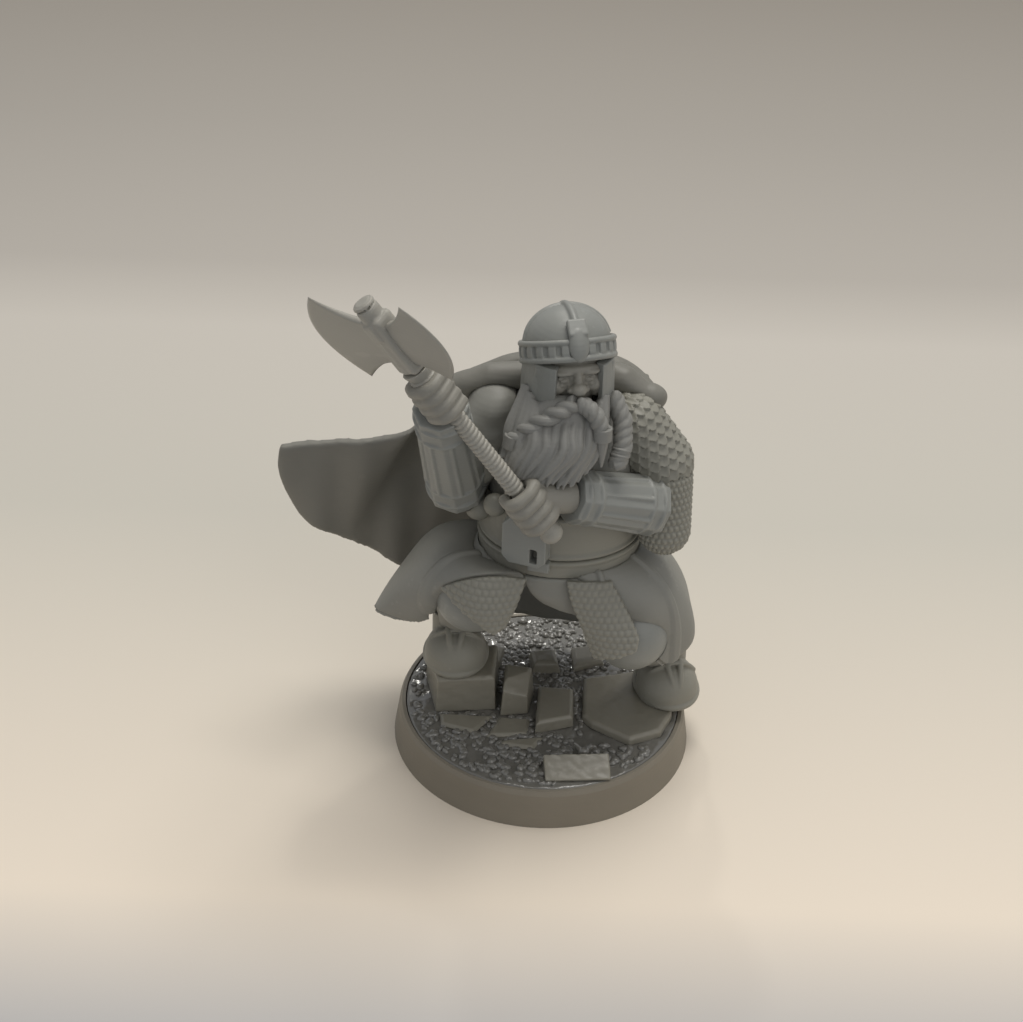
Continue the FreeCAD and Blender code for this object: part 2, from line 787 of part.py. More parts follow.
def collars(taken):
    right = pipe("collar_right_form",
                 [onBody(-2.4, 1.9, 15.0), onBody(-5.0, 1.9, 14.7), onBody(-7.5, 2.1, 13.6)],
                 ["size.collar_radius"] * 3)
    right = piece("collar_right", right, taken)
    left = pipe("collar_left_form",
                [onBody(2.8, 3.0, 15.2), onBody(5.2, 2.4, 14.6), onBody(7.0, 1.8, 13.4)],
                ["size.collar_radius", "size.collar_radius", "size.collar_radius * 0.9"])
    left = piece("collar_left", left, taken + [right])
    return [right, left]


# ---------------------------------------------------------------- axe, hands and arms


def axePoint(distance):
    return mark("pommel") + axe_direction * distance


def axeTurn():
    """Local X across the blades, local Y along the shaft."""
    across = Vector(axe_across).normalize()
    along = Vector(axe_direction).normalize()
    return Rotation(across, along, across.cross(along), "ZXY")


def axeShaft():
    owner = body("shaft")
    drawing = sketch(owner, "XY_Plane", "shaft_circle")
    circle = drawing.addGeometry(Part.Circle(Vector(0, 0, 0), Vector(0, 0, 1), val("shaft_radius")))
    drawing.addConstraint(Sketcher.Constraint("Coincident", circle, 3, -1, 1))
    number = drawing.addConstraint(Sketcher.Constraint("Radius", circle, val("shaft_radius")))
    drawing.setExpression(f"Constraints[{number}]", "size.shaft_radius")
    pad(owner, drawing, "shaft_pad", "size.shaft_length - size.pommel_length")
    owner.Placement = Placement(axePoint(val("pommel_length")), Rotation(Vector(0, 0, 1), axe_direction))
    return keep("axe_shaft", owner)


def axePommel():
    owner = body("pommel_knob")
    profile = outline(owner, "XZ_Plane", "pommel_profile", [
        ("0", "0"),
        ("size.pommel_radius * 0.7", "0"),
        ("size.pommel_radius", "size.pommel_length * 0.3"),
        ("size.pommel_radius", "size.pommel_length * 0.75"),
        ("size.pommel_radius * 0.75", "size.pommel_length"),
        ("0", "size.pommel_length"),
    ])
    turned(owner, profile, "pommel_turned")
    owner.Placement = Placement(axePoint(0), Rotation(Vector(0, 0, 1), axe_direction))
    return keep("axe_pommel", owner)


def bladeHalf(owner, name, reach, sign):
    """One blade: two short horns joined by a round cutting edge."""
    rise = "size.blade_rise / 2"
    tip = f"({reach} - size.blade_tip_cut)"
    root = "size.socket_width / 2 - 0.2"
    horn = f"{tip} - size.blade_horn"
    corners = [
        (root, f"-({rise} - 2.0)"),
        (horn, f"-({rise} - 1.9)"),
        (tip, f"-({rise})"),
        (tip, rise),
        (horn, f"{rise} - 1.2"),
        (root, f"{rise} - 1.0"),
    ]
    drawing = sketch(owner, "XY_Plane", name)
    points = [Vector(sign * worth(x), worth(y), 0) for x, y in corners]
    for i, point in enumerate(points):
        following = points[(i + 1) % len(points)]
        if i == 2:
            middle = Vector(sign * worth(reach), 0, 0)
            drawing.addGeometry(Part.Arc(point, middle, following))
        else:
            drawing.addGeometry(Part.LineSegment(point, following))
    return drawing


def axeHead(shaft):
    turn = axeTurn()
    middle = axePoint(val("shaft_length") - val("head_from_tip"))
    blades = []
    for name, reach, sign in (("blade_left", "size.blade_left", -1), ("blade_right", "size.blade_right", 1)):
        owner = body(name + "_body")
        drawing = bladeHalf(owner, name + "_sketch", reach, sign)
        pad(owner, drawing, name + "_pad", "size.blade_thickness", both=True)
        owner.Placement = Placement(middle, turn)
        blades.append(owner)
    owner = body("socket")
    half, tall = "size.socket_width / 2", "size.socket_length / 2"
    block = outline(owner, "XY_Plane", "socket_outline", [
        (half, f"-({tall} - 1.0)"), (half, f"{tall} - 1.0"), ("size.shaft_radius + 0.2", tall),
        ("-size.shaft_radius - 0.2", tall), (f"-{half}", f"{tall} - 1.0"),
        (f"-{half}", f"-({tall} - 1.0)"), ("-size.shaft_radius - 0.2", f"-{tall}"),
        ("size.shaft_radius + 0.2", f"-{tall}"),
    ])
    pad(owner, block, "socket_pad", "size.socket_thickness", both=True)
    owner.Placement = Placement(middle, turn)
    whole = join("axe_head_form", [owner, *blades])
    head = piece("axe_head", whole, [shaft])

    collar = body("neck_collar")
    half, tall = "size.collar_width / 2", "size.collar_length"
    block = outline(collar, "XY_Plane", "neck_outline", [
        (f"{half} * 0.75", f"-{tall}"), (half, f"-{tall} * 0.5"), (half, "0"),
        (f"-{half}", "0"), (f"-{half}", f"-{tall} * 0.5"), (f"-{half} * 0.75", f"-{tall}"),
    ])
    pad(collar, block, "neck_pad", "size.collar_width * 0.8", both=True)
    collar.Placement = Placement(middle - axe_direction * (val("socket_length") / 2), turn)
    collar = piece("axe_collar", collar, [shaft])
    return head, collar


def fist(side, distance, wrist, taken):
    """Four fingers round the shaft, turned in one piece, and a palm towards the wrist."""
    middle = axePoint(distance)
    width, reach = val("finger_width"), val("fist_radius")
    owner = body(side + "_fingers")
    drawing = sketch(owner, "XZ_Plane", side + "_fingers_profile")
    low, high, dip = -2 * width, 2 * width, reach - 0.3
    drawing.addGeometry(Part.LineSegment(Vector(0, high, 0), Vector(0, low, 0)))
    drawing.addGeometry(Part.LineSegment(Vector(0, low, 0), Vector(dip, low, 0)))
    for i in range(4):
        start = low + width * i
        drawing.addGeometry(Part.Arc(Vector(dip, start, 0), Vector(reach, start + width / 2, 0),
                                     Vector(dip, start + width, 0)))
    drawing.addGeometry(Part.LineSegment(Vector(dip, high, 0), Vector(0, high, 0)))
    turned(owner, drawing, side + "_fingers_turned")
    owner.Placement = Placement(middle, Rotation(Vector(0, 0, 1), axe_direction))
    palm = capsule(side + "_palm", middle, wrist, "size.palm_radius", "size.palm_radius - 0.15")
    return piece(side + "_hand", join(side + "_fist", [owner, palm]), taken)


def bracer(name, start, end, taken):
    """An eight-sided guard round the forearm, a little narrower at the wrist."""
    spin = Rotation(Vector(0, 0, 1), end - start)
    rings = []
    for i, (point, width) in enumerate(((start, "size.bracer_width"), (end, "size.bracer_end_width"))):
        ring = add("Part::RegularPolygon", f"{name}_ring{i}", Circumradius=f"{width} / 2 * 1.06")
        ring.Polygon = 8
        rings.append(place(ring, point, spin))
    guard = doc.addObject("Part::Loft", name + "_form")
    guard.Sections = rings
    guard.Solid = True
    guard.Ruled = True
    return piece(name, guard, taken)


def arms(trunk, belt_parts, shaft, pommel, axe_top):
    right_grip = val("shaft_length") - val("hand_from_tip")
    right_hand_at = axePoint(right_grip)
    right_elbow = mark("right_elbow")
    right_wrist = right_hand_at + (right_elbow - right_hand_at).normalize() * 1.9
    upper = capsule("right_arm_form", mark("right_shoulder"), right_elbow,
                    "size.shoulder_radius", "size.sleeve_radius")
    right_upper = piece("right_upper_arm", upper, [trunk, *belt_parts])
    right_bracer = bracer("right_bracer", right_elbow, right_wrist,
                          [right_upper, trunk, *belt_parts, shaft])
    right_hand = fist("right", right_grip, right_wrist, [shaft, right_bracer, *axe_top])

    left_wrist = mark("left_wrist")
    left_elbow = mark("left_elbow")
    upper = capsule("left_arm_form", mark("left_shoulder"), mark("left_arm"),
                    "size.shoulder_radius", "size.arm_radius")
    left_upper = piece("left_upper_arm", upper, [trunk, *belt_parts])
    hem = left_elbow + Vector(-0.2, -0.3, -1.3)
    sleeve = capsule("sleeve_form", mark("left_arm") + Vector(0.3, -0.5, -1.2), hem,
                     "size.elbow_radius + 0.2", "size.sleeve_radius")
    sleeve = piece("left_sleeve", sleeve, [left_upper, trunk, *belt_parts])
    start = left_elbow + Vector(-1.2, -0.9, 1.2)
    left_bracer = bracer("left_bracer", start, left_wrist,
                         [sleeve, left_upper, trunk, *belt_parts, shaft, pommel])
    left_hand = fist("left", val("hand_from_pommel"), left_wrist,
                     [shaft, pommel, left_bracer, trunk, *belt_parts])
    return [right_upper, right_bracer, right_hand, left_upper, sleeve, left_bracer, left_hand]


# ---------------------------------------------------------------- head and helmet


def headFrame():
    """Turned to the figure's left and tilted back."""
    return Rotation(Vector(0, 0, 1), head_turn).multiply(Rotation(Vector(1, 0, 0), -head_tilt))


def headPieces(trunk):
    facing = Rotation(Vector(0, 0, 1), head_turn)
    skull = ball("skull", mark("head"), "size.head_width / 2", "size.head_depth / 2",
                 "size.head_height / 2", facing)
    face = Vector(0, -val("head_depth") / 2 + 0.1, 0.1)
    nose = ball("nose", mark("head") + facing.multVec(face), "0.5", "0.75", "0.85", facing)
    head = piece("head", join("head_form", [skull, nose]), [trunk])

    crown = mark("helmet")
    frame = headFrame()
    upward = frame.multVec(Vector(0, 0, 1))

    band = body("band")
    profile = outline(band, "XZ_Plane", "band_profile", [
        ("1.2", "-size.band_height / 2"),
        ("size.band_radius - 0.15", "-size.band_height / 2"),
        ("size.band_radius", "-size.band_height / 2 + 0.2"),
        ("size.band_radius", "size.band_height / 2 - 0.2"),
        ("size.band_radius - 0.15", "size.band_height / 2"),
        ("1.2", "size.band_height / 2"),
    ])
    turned(band, profile, "band_turned")
    band.Placement = Placement(crown, frame)
    band = piece("helmet_band", band, [head, trunk])

    dome = add("Part::Ellipsoid", "dome", Radius1="size.helmet_height",
               Radius2="size.helmet_radius", Radius3="size.helmet_radius * 1.02")
    dome.Angle1 = 0
    place(dome, crown + upward * (val("band_height") / 2), frame)
    dome = piece("helmet_bowl", dome, [head, band])

    boss = body("boss_body")
    half, tall, corner = "size.boss_width / 2", "size.boss_height / 2", "size.boss_width / 4"
    profile = outline(boss, "XY_Plane", "boss_outline", [
        (half, f"-({tall} - 0.6)"), (half, f"{tall} - 0.6"), (corner, tall), (f"-{corner}", tall),
        (f"-{half}", f"{tall} - 0.6"), (f"-{half}", f"-({tall} - 0.6)"),
        (f"-{corner}", f"-{tall}"), (corner, f"-{tall}"),
    ])
    pad(boss, profile, "boss_pad", "size.boss_wall + 1.2")
    front = crown + frame.multVec(Vector(0, -val("band_radius") + 1.2, 0.5))
    boss.Placement = Placement(front, frame.multiply(Rotation(Vector(1, 0, 0), 90)))
    boss = piece("helmet_boss", boss, [band, dome, head])

    guards = []
    axis = mark("head")
    top = val("helmet_z") - val("head_z")
    for label, turn, span in (("right_cheek_guard", 203, 74), ("left_cheek_guard", -20, 74),
                              ("neck_guard", 92, 138)):
        owner = body(label + "_body")
        inner = "size.head_width / 2 + 0.2"
        outer = inner + " + size.cheek_wall"
        low = "-size.cheek_length"
        profile = outline(owner, "XZ_Plane", label + "_profile", [
            (inner + " + 0.15", low), (outer + " + 0.15", low), (outer, "0"), (inner + " - 0.6", "0"),
            (inner + " - 0.6", "-0.6"), (inner, "-1.4"),
        ])
        turned(owner, profile, label + "_turned", span)
        spin = Rotation(Vector(0, 0, 1), turn + head_turn)
        owner.Placement = Placement(axis + Vector(0, 0, top), spin)
        guards.append(piece(label, owner, [band, dome, head, trunk, *guards]))
    return [head, band, dome, boss, *guards]


def braid(name, points, taken):
    radii = ["size.hair_radius"] * (len(points) - 1) + ["size.hair_radius * 0.45"]
    form = pipe(name + "_form", points, radii)
    return piece(name, form, taken)


def beardPieces(taken):
    facing = Rotation(Vector(0, 0, 1), head_turn)
    centre = mark("head")

    def ring(dx, dy, dz):
        return centre + Vector(dx, dy, dz)

    beard = barrel("beard_form", [
        (ring(-0.7, -5.2, -6.9), "2.4", "1.1"),
        (ring(-0.6, -4.6, -5.4), "5.0", "2.6"),
        (ring(-0.1, -3.8, -3.6), "5.4", "3.2"),
        (ring(0.5, -2.7, -1.7), "3.6", "2.6"),
        (ring(0.6, -2.3, -0.9), "2.4", "1.6"),
    ])
    beard = piece("beard", beard, taken)
    taken = taken + [beard]

    paths = {
        "moustache_right": [(0.1, -4.0, -0.2), (-1.3, -3.9, -1.5), (-3.0, -3.3, -3.1),
                            (-4.2, -3.0, -4.6), (-4.2, -3.6, -6.6)],
        "moustache_left": [(0.9, -3.9, -0.3), (1.9, -3.75, -1.6), (2.6, -3.8, -3.6), (2.6, -3.85, -6.4)],
        "side_braid": [(3.4, -0.9, -2.2), (4.3, -1.9, -3.8), (4.3, -2.9, -5.4), (3.9, -3.5, -7.0)],
    }
    strands = []
    rings = []
    for label, path in paths.items():
        points = [ring(*spot) for spot in path]
        strand = braid(label, points, taken + strands)
        strands.append(strand)
        above, below = points[-3], points[-2]
        direction = (below - above).normalize()
        seat = below - direction * val("ring_length")
        rings.append(tube(f"{label}_clasp", seat, below, "size.ring_radius"))
    clasps = [carve(f"clasp{i}_cut", item, taken + strands) for i, item in enumerate(rings)]
    keep("braid_clasps", group("clasp_group", clasps), many=True)
    return [beard, *strands]


# ---------------------------------------------------------------- assembly

basePlinth()
ground = baseGround()
stones(ground)
pebbles()
sprout(ground)

trunk = torso()
belt_parts = belts(trunk)
leg_parts = legs([trunk, *belt_parts])
plate = buckle([*belt_parts, trunk])

shaft = axeShaft()
pommel = axePommel()
axe_top = axeHead(shaft)
arm_parts = arms(trunk, belt_parts, shaft, pommel, axe_top)
pouches([trunk, *belt_parts, plate, *arm_parts[:2]])

head_parts = headPieces(trunk)
skirt_parts = skirts([trunk, *belt_parts, *leg_parts])
collar_parts = collars([trunk, *arm_parts, *head_parts])
beard_parts = beardPieces([trunk, *arm_parts, *head_parts, *collar_parts, shaft])
cloak(collar_parts)

doc.recompute()
for item in doc.Objects:
    assert "Invalid" not in item.State and "Error" not in item.State, f"{item.Label}: {item.State}"

os.makedirs("parts", exist_ok=True)
for label, item, many in nodes:
    assert not item.Shape.isNull() and item.Shape.isValid(), f"{label} has no sound shape"
    assert many or len(item.Shape.Solids) == 1, f"{label} isn't one solid"
    item.Shape.exportStep(f"parts/{label}.step")
print(len(nodes), "pieces")
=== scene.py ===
import bpy, bmesh, json, random
from math import sin, cos, pi, radians, tau, hypot, atan2
from mathutils import Vector, Matrix, noise


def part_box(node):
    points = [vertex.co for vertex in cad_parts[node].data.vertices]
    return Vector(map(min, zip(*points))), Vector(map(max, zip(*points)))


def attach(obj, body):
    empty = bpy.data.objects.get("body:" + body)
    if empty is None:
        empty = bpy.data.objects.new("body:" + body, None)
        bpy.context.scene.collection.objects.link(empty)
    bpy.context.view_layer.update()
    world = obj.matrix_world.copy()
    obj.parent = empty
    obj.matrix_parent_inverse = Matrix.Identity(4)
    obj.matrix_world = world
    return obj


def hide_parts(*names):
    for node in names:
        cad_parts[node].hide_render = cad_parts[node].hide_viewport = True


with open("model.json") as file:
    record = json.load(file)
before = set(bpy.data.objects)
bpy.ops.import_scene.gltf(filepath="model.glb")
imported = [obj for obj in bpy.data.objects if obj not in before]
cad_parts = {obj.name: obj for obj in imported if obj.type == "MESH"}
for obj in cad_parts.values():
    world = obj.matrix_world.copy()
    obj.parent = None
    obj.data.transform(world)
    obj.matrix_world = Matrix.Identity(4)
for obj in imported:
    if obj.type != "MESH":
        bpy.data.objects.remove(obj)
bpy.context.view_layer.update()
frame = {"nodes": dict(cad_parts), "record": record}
scene = bpy.context.scene
mm = 0.001
random.seed(11)
print("frame loaded")

# camera
view = {"lens": 66.56, "place": (-3.125, -124.71, 105.53), "down": 33.76, "roll": 1.938}


def makeCamera():
    data = bpy.data.cameras.new("mainCamera")
    data.lens = view["lens"]
    data.sensor_width = 36
    data.clip_start = 0.005
    camera = bpy.data.objects.new("mainCamera", data)
    scene.collection.objects.link(camera)
    roll, down = radians(view["roll"]), radians(view["down"])
    right = Vector((cos(roll), sin(down) * sin(roll), cos(down) * sin(roll)))
    up = Vector((-sin(roll), sin(down) * cos(roll), cos(down) * cos(roll)))
    back = right.cross(up)
    turn = Matrix((right, up, back)).transposed().to_4x4()
    camera.matrix_world = Matrix.Translation(Vector(view["place"]) * mm) @ turn
    scene.camera = camera


makeCamera()
scene.view_settings.view_transform = "Standard"

# shader maths


# one socket, with sums written as Python
class Wire:
    def __init__(self, tree, socket):
        self.tree, self.socket = tree, socket

    def sum(self, kind, first, second):
        return node(self.tree, "ShaderNodeMath", {"operation": kind}, {0: first, 1: second})[0]

    def __add__(self, other):
        return self.sum("ADD", self, other)

    __radd__ = __add__

    def __sub__(self, other):
        return self.sum("SUBTRACT", self, other)

    def __rsub__(self, other):
        return self.sum("SUBTRACT", other, self)

    def __mul__(self, other):
        return self.sum("MULTIPLY", self, other)

    __rmul__ = __mul__


def node(tree, kind, settings, inputs):
    item = tree.nodes.new(kind)
    for key, value in settings.items():
        if key == "stops":
            for i, (place, colour) in enumerate(value):
                if i > 1:
                    item.color_ramp.elements.new(place)
                item.color_ramp.elements[i].position = place
                item.color_ramp.elements[i].color = (*colour, 1)
        else:
            setattr(item, key, value)
    for key, value in inputs.items():
        if isinstance(value, Wire):
            tree.links.new(value.socket, item.inputs[key])
        else:
            item.inputs[key].default_value = value
    return [Wire(tree, socket) for socket in item.outputs]


def tone(red, green, blue):
    def straight(value):
        value /= 255
        return value / 12.92 if value < 0.04045 else ((value + 0.055) / 1.055) ** 2.4
    return tuple(straight(value) for value in (red, green, blue))


# cast resin: a soft grey with a painted highlight that makes edges paler, with faint layer lines and fine
# grain
def resin(name, colour, rough=0.5, coat=0.0, mottle=0.12, grain=0.25, glow=0.12):
    material = bpy.data.materials.new(name)
    material.use_nodes = True
    tree = material.node_tree
    tree.nodes.clear()
    where = node(tree, "ShaderNodeTexCoord", {}, {})[3]
    clouds = node(tree, "ShaderNodeTexNoise", {}, {"Vector": where, "Scale": 260.0, "Detail": 4.0})[0]
    fine = node(tree, "ShaderNodeTexNoise", {}, {"Vector": where, "Scale": 5200.0, "Detail": 3.0})[0]
    lines = node(tree, "ShaderNodeTexWave", {"wave_type": "BANDS", "bands_direction": "Z"},
                 {"Vector": where, "Scale": 900.0, "Distortion": 1.2, "Detail": 2.0})[1]
    edges = node(tree, "ShaderNodeNewGeometry", {}, {})[7]
    edge = node(tree, "ShaderNodeMapRange", {}, {
        "Value": edges, "From Min": 0.49, "From Max": 0.56})[0]
    colour = tuple(part * 1.16 for part in colour)
    low = tuple(part * (1 - mottle) for part in colour)
    high = tuple(min(1, part * (1 + mottle)) for part in colour)
    paintedHighlightTone = tuple(min(1, part * 1.3) for part in colour)
    body = node(tree, "ShaderNodeMix", {"data_type": "RGBA"},
                {0: clouds, 6: (*low, 1), 7: (*high, 1)})[2]
    # painted highlight: convex edges, found by pointiness, are mixed towards a paler grey as if they catch the
    # light
    paintedEdgeHighlight = node(tree, "ShaderNodeMix", {"data_type": "RGBA"},
                {0: edge * 0.3, 6: body, 7: (*paintedHighlightTone, 1)})[2]
    height = fine * 0.6 + lines * 0.35 + clouds * 0.4
    bump = node(tree, "ShaderNodeBump", {}, {
        "Height": height, "Strength": grain, "Distance": 0.00004})[0]
    shader = node(tree, "ShaderNodeBsdfPrincipled", {}, {
        "Base Color": paintedEdgeHighlight, "Roughness": (clouds - 0.5) * 0.22 + rough + (fine - 0.5) * 0.1, "Normal": bump,
        "Subsurface Weight": glow, "Subsurface Scale": 0.0006, "Subsurface Radius": (0.8, 0.75, 0.7),
        "Coat Weight": coat,
        "Coat Roughness": 0.12, "IOR": 1.5})[0]
    node(tree, "ShaderNodeOutputMaterial", {}, {"Surface": shader})
    return material


finish = {
    "base": resin("baseResin", tone(116, 110, 98), rough=0.5),
    "ground": resin("groundResin", tone(104, 102, 96), rough=0.16, coat=1.0, mottle=0.25, grain=0.4),
    "stone": resin("stoneResin", tone(124, 120, 108), rough=0.42, coat=0.1, grain=0.18),
    "cloth": resin("clothResin", tone(126, 125, 118), rough=0.55),
    "cloak": resin("cloakResin", tone(112, 110, 102), rough=0.5),
    "mail": resin("mailResin", tone(128, 126, 116), rough=0.5),
    "armour": resin("armourResin", tone(128, 129, 124), rough=0.42),
    "leather": resin("leatherResin", tone(126, 124, 114), rough=0.5),
    "skin": resin("skinResin", tone(130, 127, 118), rough=0.5),
    "hair": resin("hairResin", tone(124, 123, 118), rough=0.48),
    "weapon": resin("weaponResin", tone(146, 143, 134), rough=0.45, glow=0.3),
}
slotOf = {entry["node"]: entry["material_slot"] for entry in frame["record"]["subparts"]}
print("materials made")

# making and joining


def copyOf(*names):
    form = bmesh.new()
    for name in names:
        form.from_mesh(frame["nodes"][name].data)
    bmesh.ops.remove_doubles(form, verts=form.verts, dist=2e-6)
    return form


def turnTo(direction, spin=0.0):
    turn = direction.normalized().to_track_quat("Z", "Y").to_matrix().to_4x4()
    return turn @ Matrix.Rotation(spin, 4, "Z")


# a ball pressed to three radii, in millimetres
def blob(form, centre, radii, turn=None, detail=3):
    matrix = Matrix.Translation(Vector(centre) * mm) @ (turn or Matrix.Identity(4))
    matrix = matrix @ Matrix.Diagonal((radii[0] * mm, radii[1] * mm, radii[2] * mm, 1))
    bmesh.ops.create_icosphere(form, subdivisions=detail, radius=1, matrix=matrix)


# a straight rod or cone between two points, in millimetres
def rod(form, start, end, first, last, sides=24):
    start, end = Vector(start), Vector(end)
    matrix = Matrix.Translation((start + end) / 2 * mm) @ turnTo(end - start)
    bmesh.ops.create_cone(form, cap_ends=True, segments=sides, radius1=first * mm, radius2=last * mm,
                          depth=(end - start).length * mm, matrix=matrix)


def brick(form, centre, size, turn, chamfer=0.1):
    stretch = Matrix.Diagonal((*[part * mm for part in size], 1))
    matrix = Matrix.Translation(Vector(centre) * mm) @ turn @ stretch
    made = bmesh.ops.create_cube(form, size=1, matrix=matrix)
    edges = list({edge for vert in made["verts"] for edge in vert.link_edges})
    bmesh.ops.bevel(form, geom=edges, offset=chamfer * mm, segments=2, profile=0.5,
                    affect="EDGES", material=-1)


# a round cord along a smooth line; each point has its own radius, in millimetres
def strand(form, points, radii, closed=False):
    curve = bpy.data.curves.new("line", "CURVE")
    curve.dimensions = "3D"
    curve.bevel_depth = mm
    curve.bevel_resolution = 3
    curve.use_fill_caps = True
    spline = curve.splines.new("NURBS")
    spline.points.add(len(points) - 1)
    for spot, place, radius in zip(spline.points, points, radii):
        spot.co = (*(Vector(place) * mm), 1)
        spot.radius = radius
    spline.order_u = 3
    spline.use_endpoint_u = not closed
    spline.use_cyclic_u = closed
    spline.resolution_u = 5
    item = bpy.data.objects.new("line", curve)
    scene.collection.objects.link(item)
    mesh = bpy.data.meshes.new_from_object(item.evaluated_get(bpy.context.evaluated_depsgraph_get()))
    form.from_mesh(mesh)
    bpy.data.objects.remove(item)


# leaves the piece as its modifiers have made it
def settle(piece):
    mesh = bpy.data.meshes.new_from_object(piece.evaluated_get(bpy.context.evaluated_depsgraph_get()))
    piece.modifiers.clear()
    piece.data = mesh


# takes away loose specks, which a thin edge leaves when it is melted
def dropCrumbs(mesh, least=80):
    form = bmesh.new()
    form.from_mesh(mesh)
    seen, crumbs = set(), []
    for first in form.verts:
        if first in seen:
            continue
        island, waiting = [], [first]
        seen.add(first)
        while waiting:
            vert = waiting.pop()
            island.append(vert)
            for edge in vert.link_edges:
                other = edge.other_vert(vert)
                if other not in seen:
                    seen.add(other)
                    waiting.append(other)
        if len(island) < least:
            crumbs += island
    bmesh.ops.delete(form, geom=crumbs, context="VERTS")
    form.to_mesh(mesh)
    form.free()


# turns a form into a finished piece; a voxel size melts its parts into one skin
def makePiece(name, form, nodes, voxel=None, smooth=0, rule=None, slot=None, after=2, swell=0.0):
    slot = slot or slotOf[nodes[0]]
    if swell:
        form.normal_update()
        for vert in form.verts:
            vert.co += vert.normal * swell * mm
    mesh = bpy.data.meshes.new(name)
    form.to_mesh(mesh)
    form.free()
    piece = bpy.data.objects.new(name, mesh)
    scene.collection.objects.link(piece)
    if voxel:
        melt = piece.modifiers.new("melt", "REMESH")
        melt.mode = "VOXEL"
        melt.voxel_size = voxel * mm
        if smooth:
            soften = piece.modifiers.new("soften", "SMOOTH")
            soften.factor = 0.5
            soften.iterations = smooth
        settle(piece)
        dropCrumbs(piece.data)
    if rule:
        normals = [vert.normal.copy() for vert in piece.data.vertices]
        spots = [vert.co.copy() for vert in piece.data.vertices]
        moved = [spot + rule(spot / mm, normal) * mm for spot, normal in zip(spots, normals)]
        piece.data.vertices.foreach_set("co", [part for spot in moved for part in spot])
        piece.data.update()
        if after:
            soften = piece.modifiers.new("soften", "SMOOTH")
            soften.factor = 0.4
            soften.iterations = after
            settle(piece)
    piece.data.polygons.foreach_set("use_smooth", [True] * len(piece.data.polygons))
    piece.data.materials.clear()
    piece.data.materials.append(finish[slot])
    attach(piece, "root")
    if nodes:
        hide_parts(*nodes)
    return piece


def ripple(place, scale, seed=0.0):
    return noise.noise(Vector(place) * scale + Vector((seed, seed * 0.7, 3.1)))


# base and stones
baseWork = {"cobbles": 1500, "cobbleSize": (0.24, 0.5), "stoneVoxel": 0.07, "roughness": 0.03}


def groundRule(place, normal):
    if place.z < 3.1 or hypot(place.x, place.y) > 11.2:
        return Vector()
    return Vector((0, 0, 0.12 * ripple(place, 1.1) + 0.05 * ripple(place, 4.0)))


def stoneRule(place, normal):
    depth = baseWork["roughness"]
    return normal * (depth * ripple(place, 1.6, 5) + depth * 0.3 * ripple(place, 2.6, 2))


def makeBase():
    plinth = frame["nodes"]["base_plinth"]
    plinth.data.materials.clear()
    plinth.data.materials.append(finish["base"])
    makePiece("groundSkin", copyOf("base_ground"), ["base_ground"], voxel=0.17, smooth=2,
              rule=groundRule, after=0)
    tall = ("step_block", "pointed_stone", "cube_stone", "flagstone", "wedge_brick")
    for name in (*tall, "low_slabs", "rear_rocks"):
        makePiece(name + "Worn", copyOf(name), [name], voxel=baseWork["stoneVoxel"], smooth=5,
                  rule=stoneRule)
    stones = [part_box(name) for name in tall]
    form = bmesh.new()
    for _ in range(baseWork["cobbles"]):
        angle, out = random.uniform(0, tau), 11.0 * random.random() ** 0.5
        x, y = out * cos(angle), out * sin(angle)
        if any(low.x < x * mm < high.x and low.y < y * mm < high.y for low, high in stones):
            continue
        size = random.uniform(*baseWork["cobbleSize"])
        turn = Matrix.Rotation(random.uniform(0, pi), 4, "Z")
        turn = turn @ Matrix.Rotation(random.uniform(-0.3, 0.3), 4, "X")
        blob(form, (x, y, 3.32), (size, size * random.uniform(0.55, 0.8), size * 0.6), turn, detail=2)
    makePiece("cobbles", form, ["pebbles"])
    form = bmesh.new()
    strand(form, [(3.3, -7.1, 3.2), (3.1, -7.2, 3.9), (2.6, -7.3, 4.6)], [0.32, 0.34, 0.08])
    strand(form, [(3.3, -7.1, 3.2), (3.7, -7.1, 3.8), (4.1, -7.0, 4.2)], [0.32, 0.42, 0.2])
    blob(form, (3.4, -7.3, 3.7), (0.5, 0.4, 0.4))
    makePiece("sproutLeaves", form, ["sprout"], voxel=0.06, smooth=2)
    print("base done")


makeBase()

# body
bodyWork = {"voxel": 0.14, "smooth": 6, "fold": 0.16, "trims": (-2.75, -2.1, -1.05, -0.45)}


def foldRule(place, normal):
    wave = sin(place.z * 2.4 + 2.2 * ripple(place, 0.4, 2)) * ripple(place, 0.35, 8)
    return normal * (bodyWork["fold"] * wave)


def cloakRule(place, normal):
    low = min(1.0, max(0.0, (33 - place.z) / 20))
    folds = sin(place.x * 0.95 + place.z * 0.22 + 1.2) + 0.6 * sin(place.x * 1.9 - place.z * 0.15)
    return Vector((0, 0.16 * folds * (0.25 + low), 0.1 * ripple(place, 0.5)))


def skirtRule(place, normal):
    angle = atan2(place.y - 1, place.x - 1)
    low = min(1.0, max(0.0, (19.5 - place.z) / 7))
    fold = sin(angle * 8 + place.z * 0.3) * 0.26 + sin(angle * 17) * 0.08
    trim = sum(max(0.0, 1 - abs(angle - line) / 0.05) for line in bodyWork["trims"])
    return normal * (fold * low + 0.22 * min(1.0, trim * 1.6))


def mailRule(place, normal):
    row = place.z / 0.5
    shift = 0.5 if int(row) % 2 else 0.0
    across = place.x / 0.55 + shift
    scale = abs(sin(pi * row)) ** 0.6 * abs(sin(pi * across)) ** 0.6
    return normal * (0.14 * scale - 0.04) if normal.y < 0.2 else Vector()


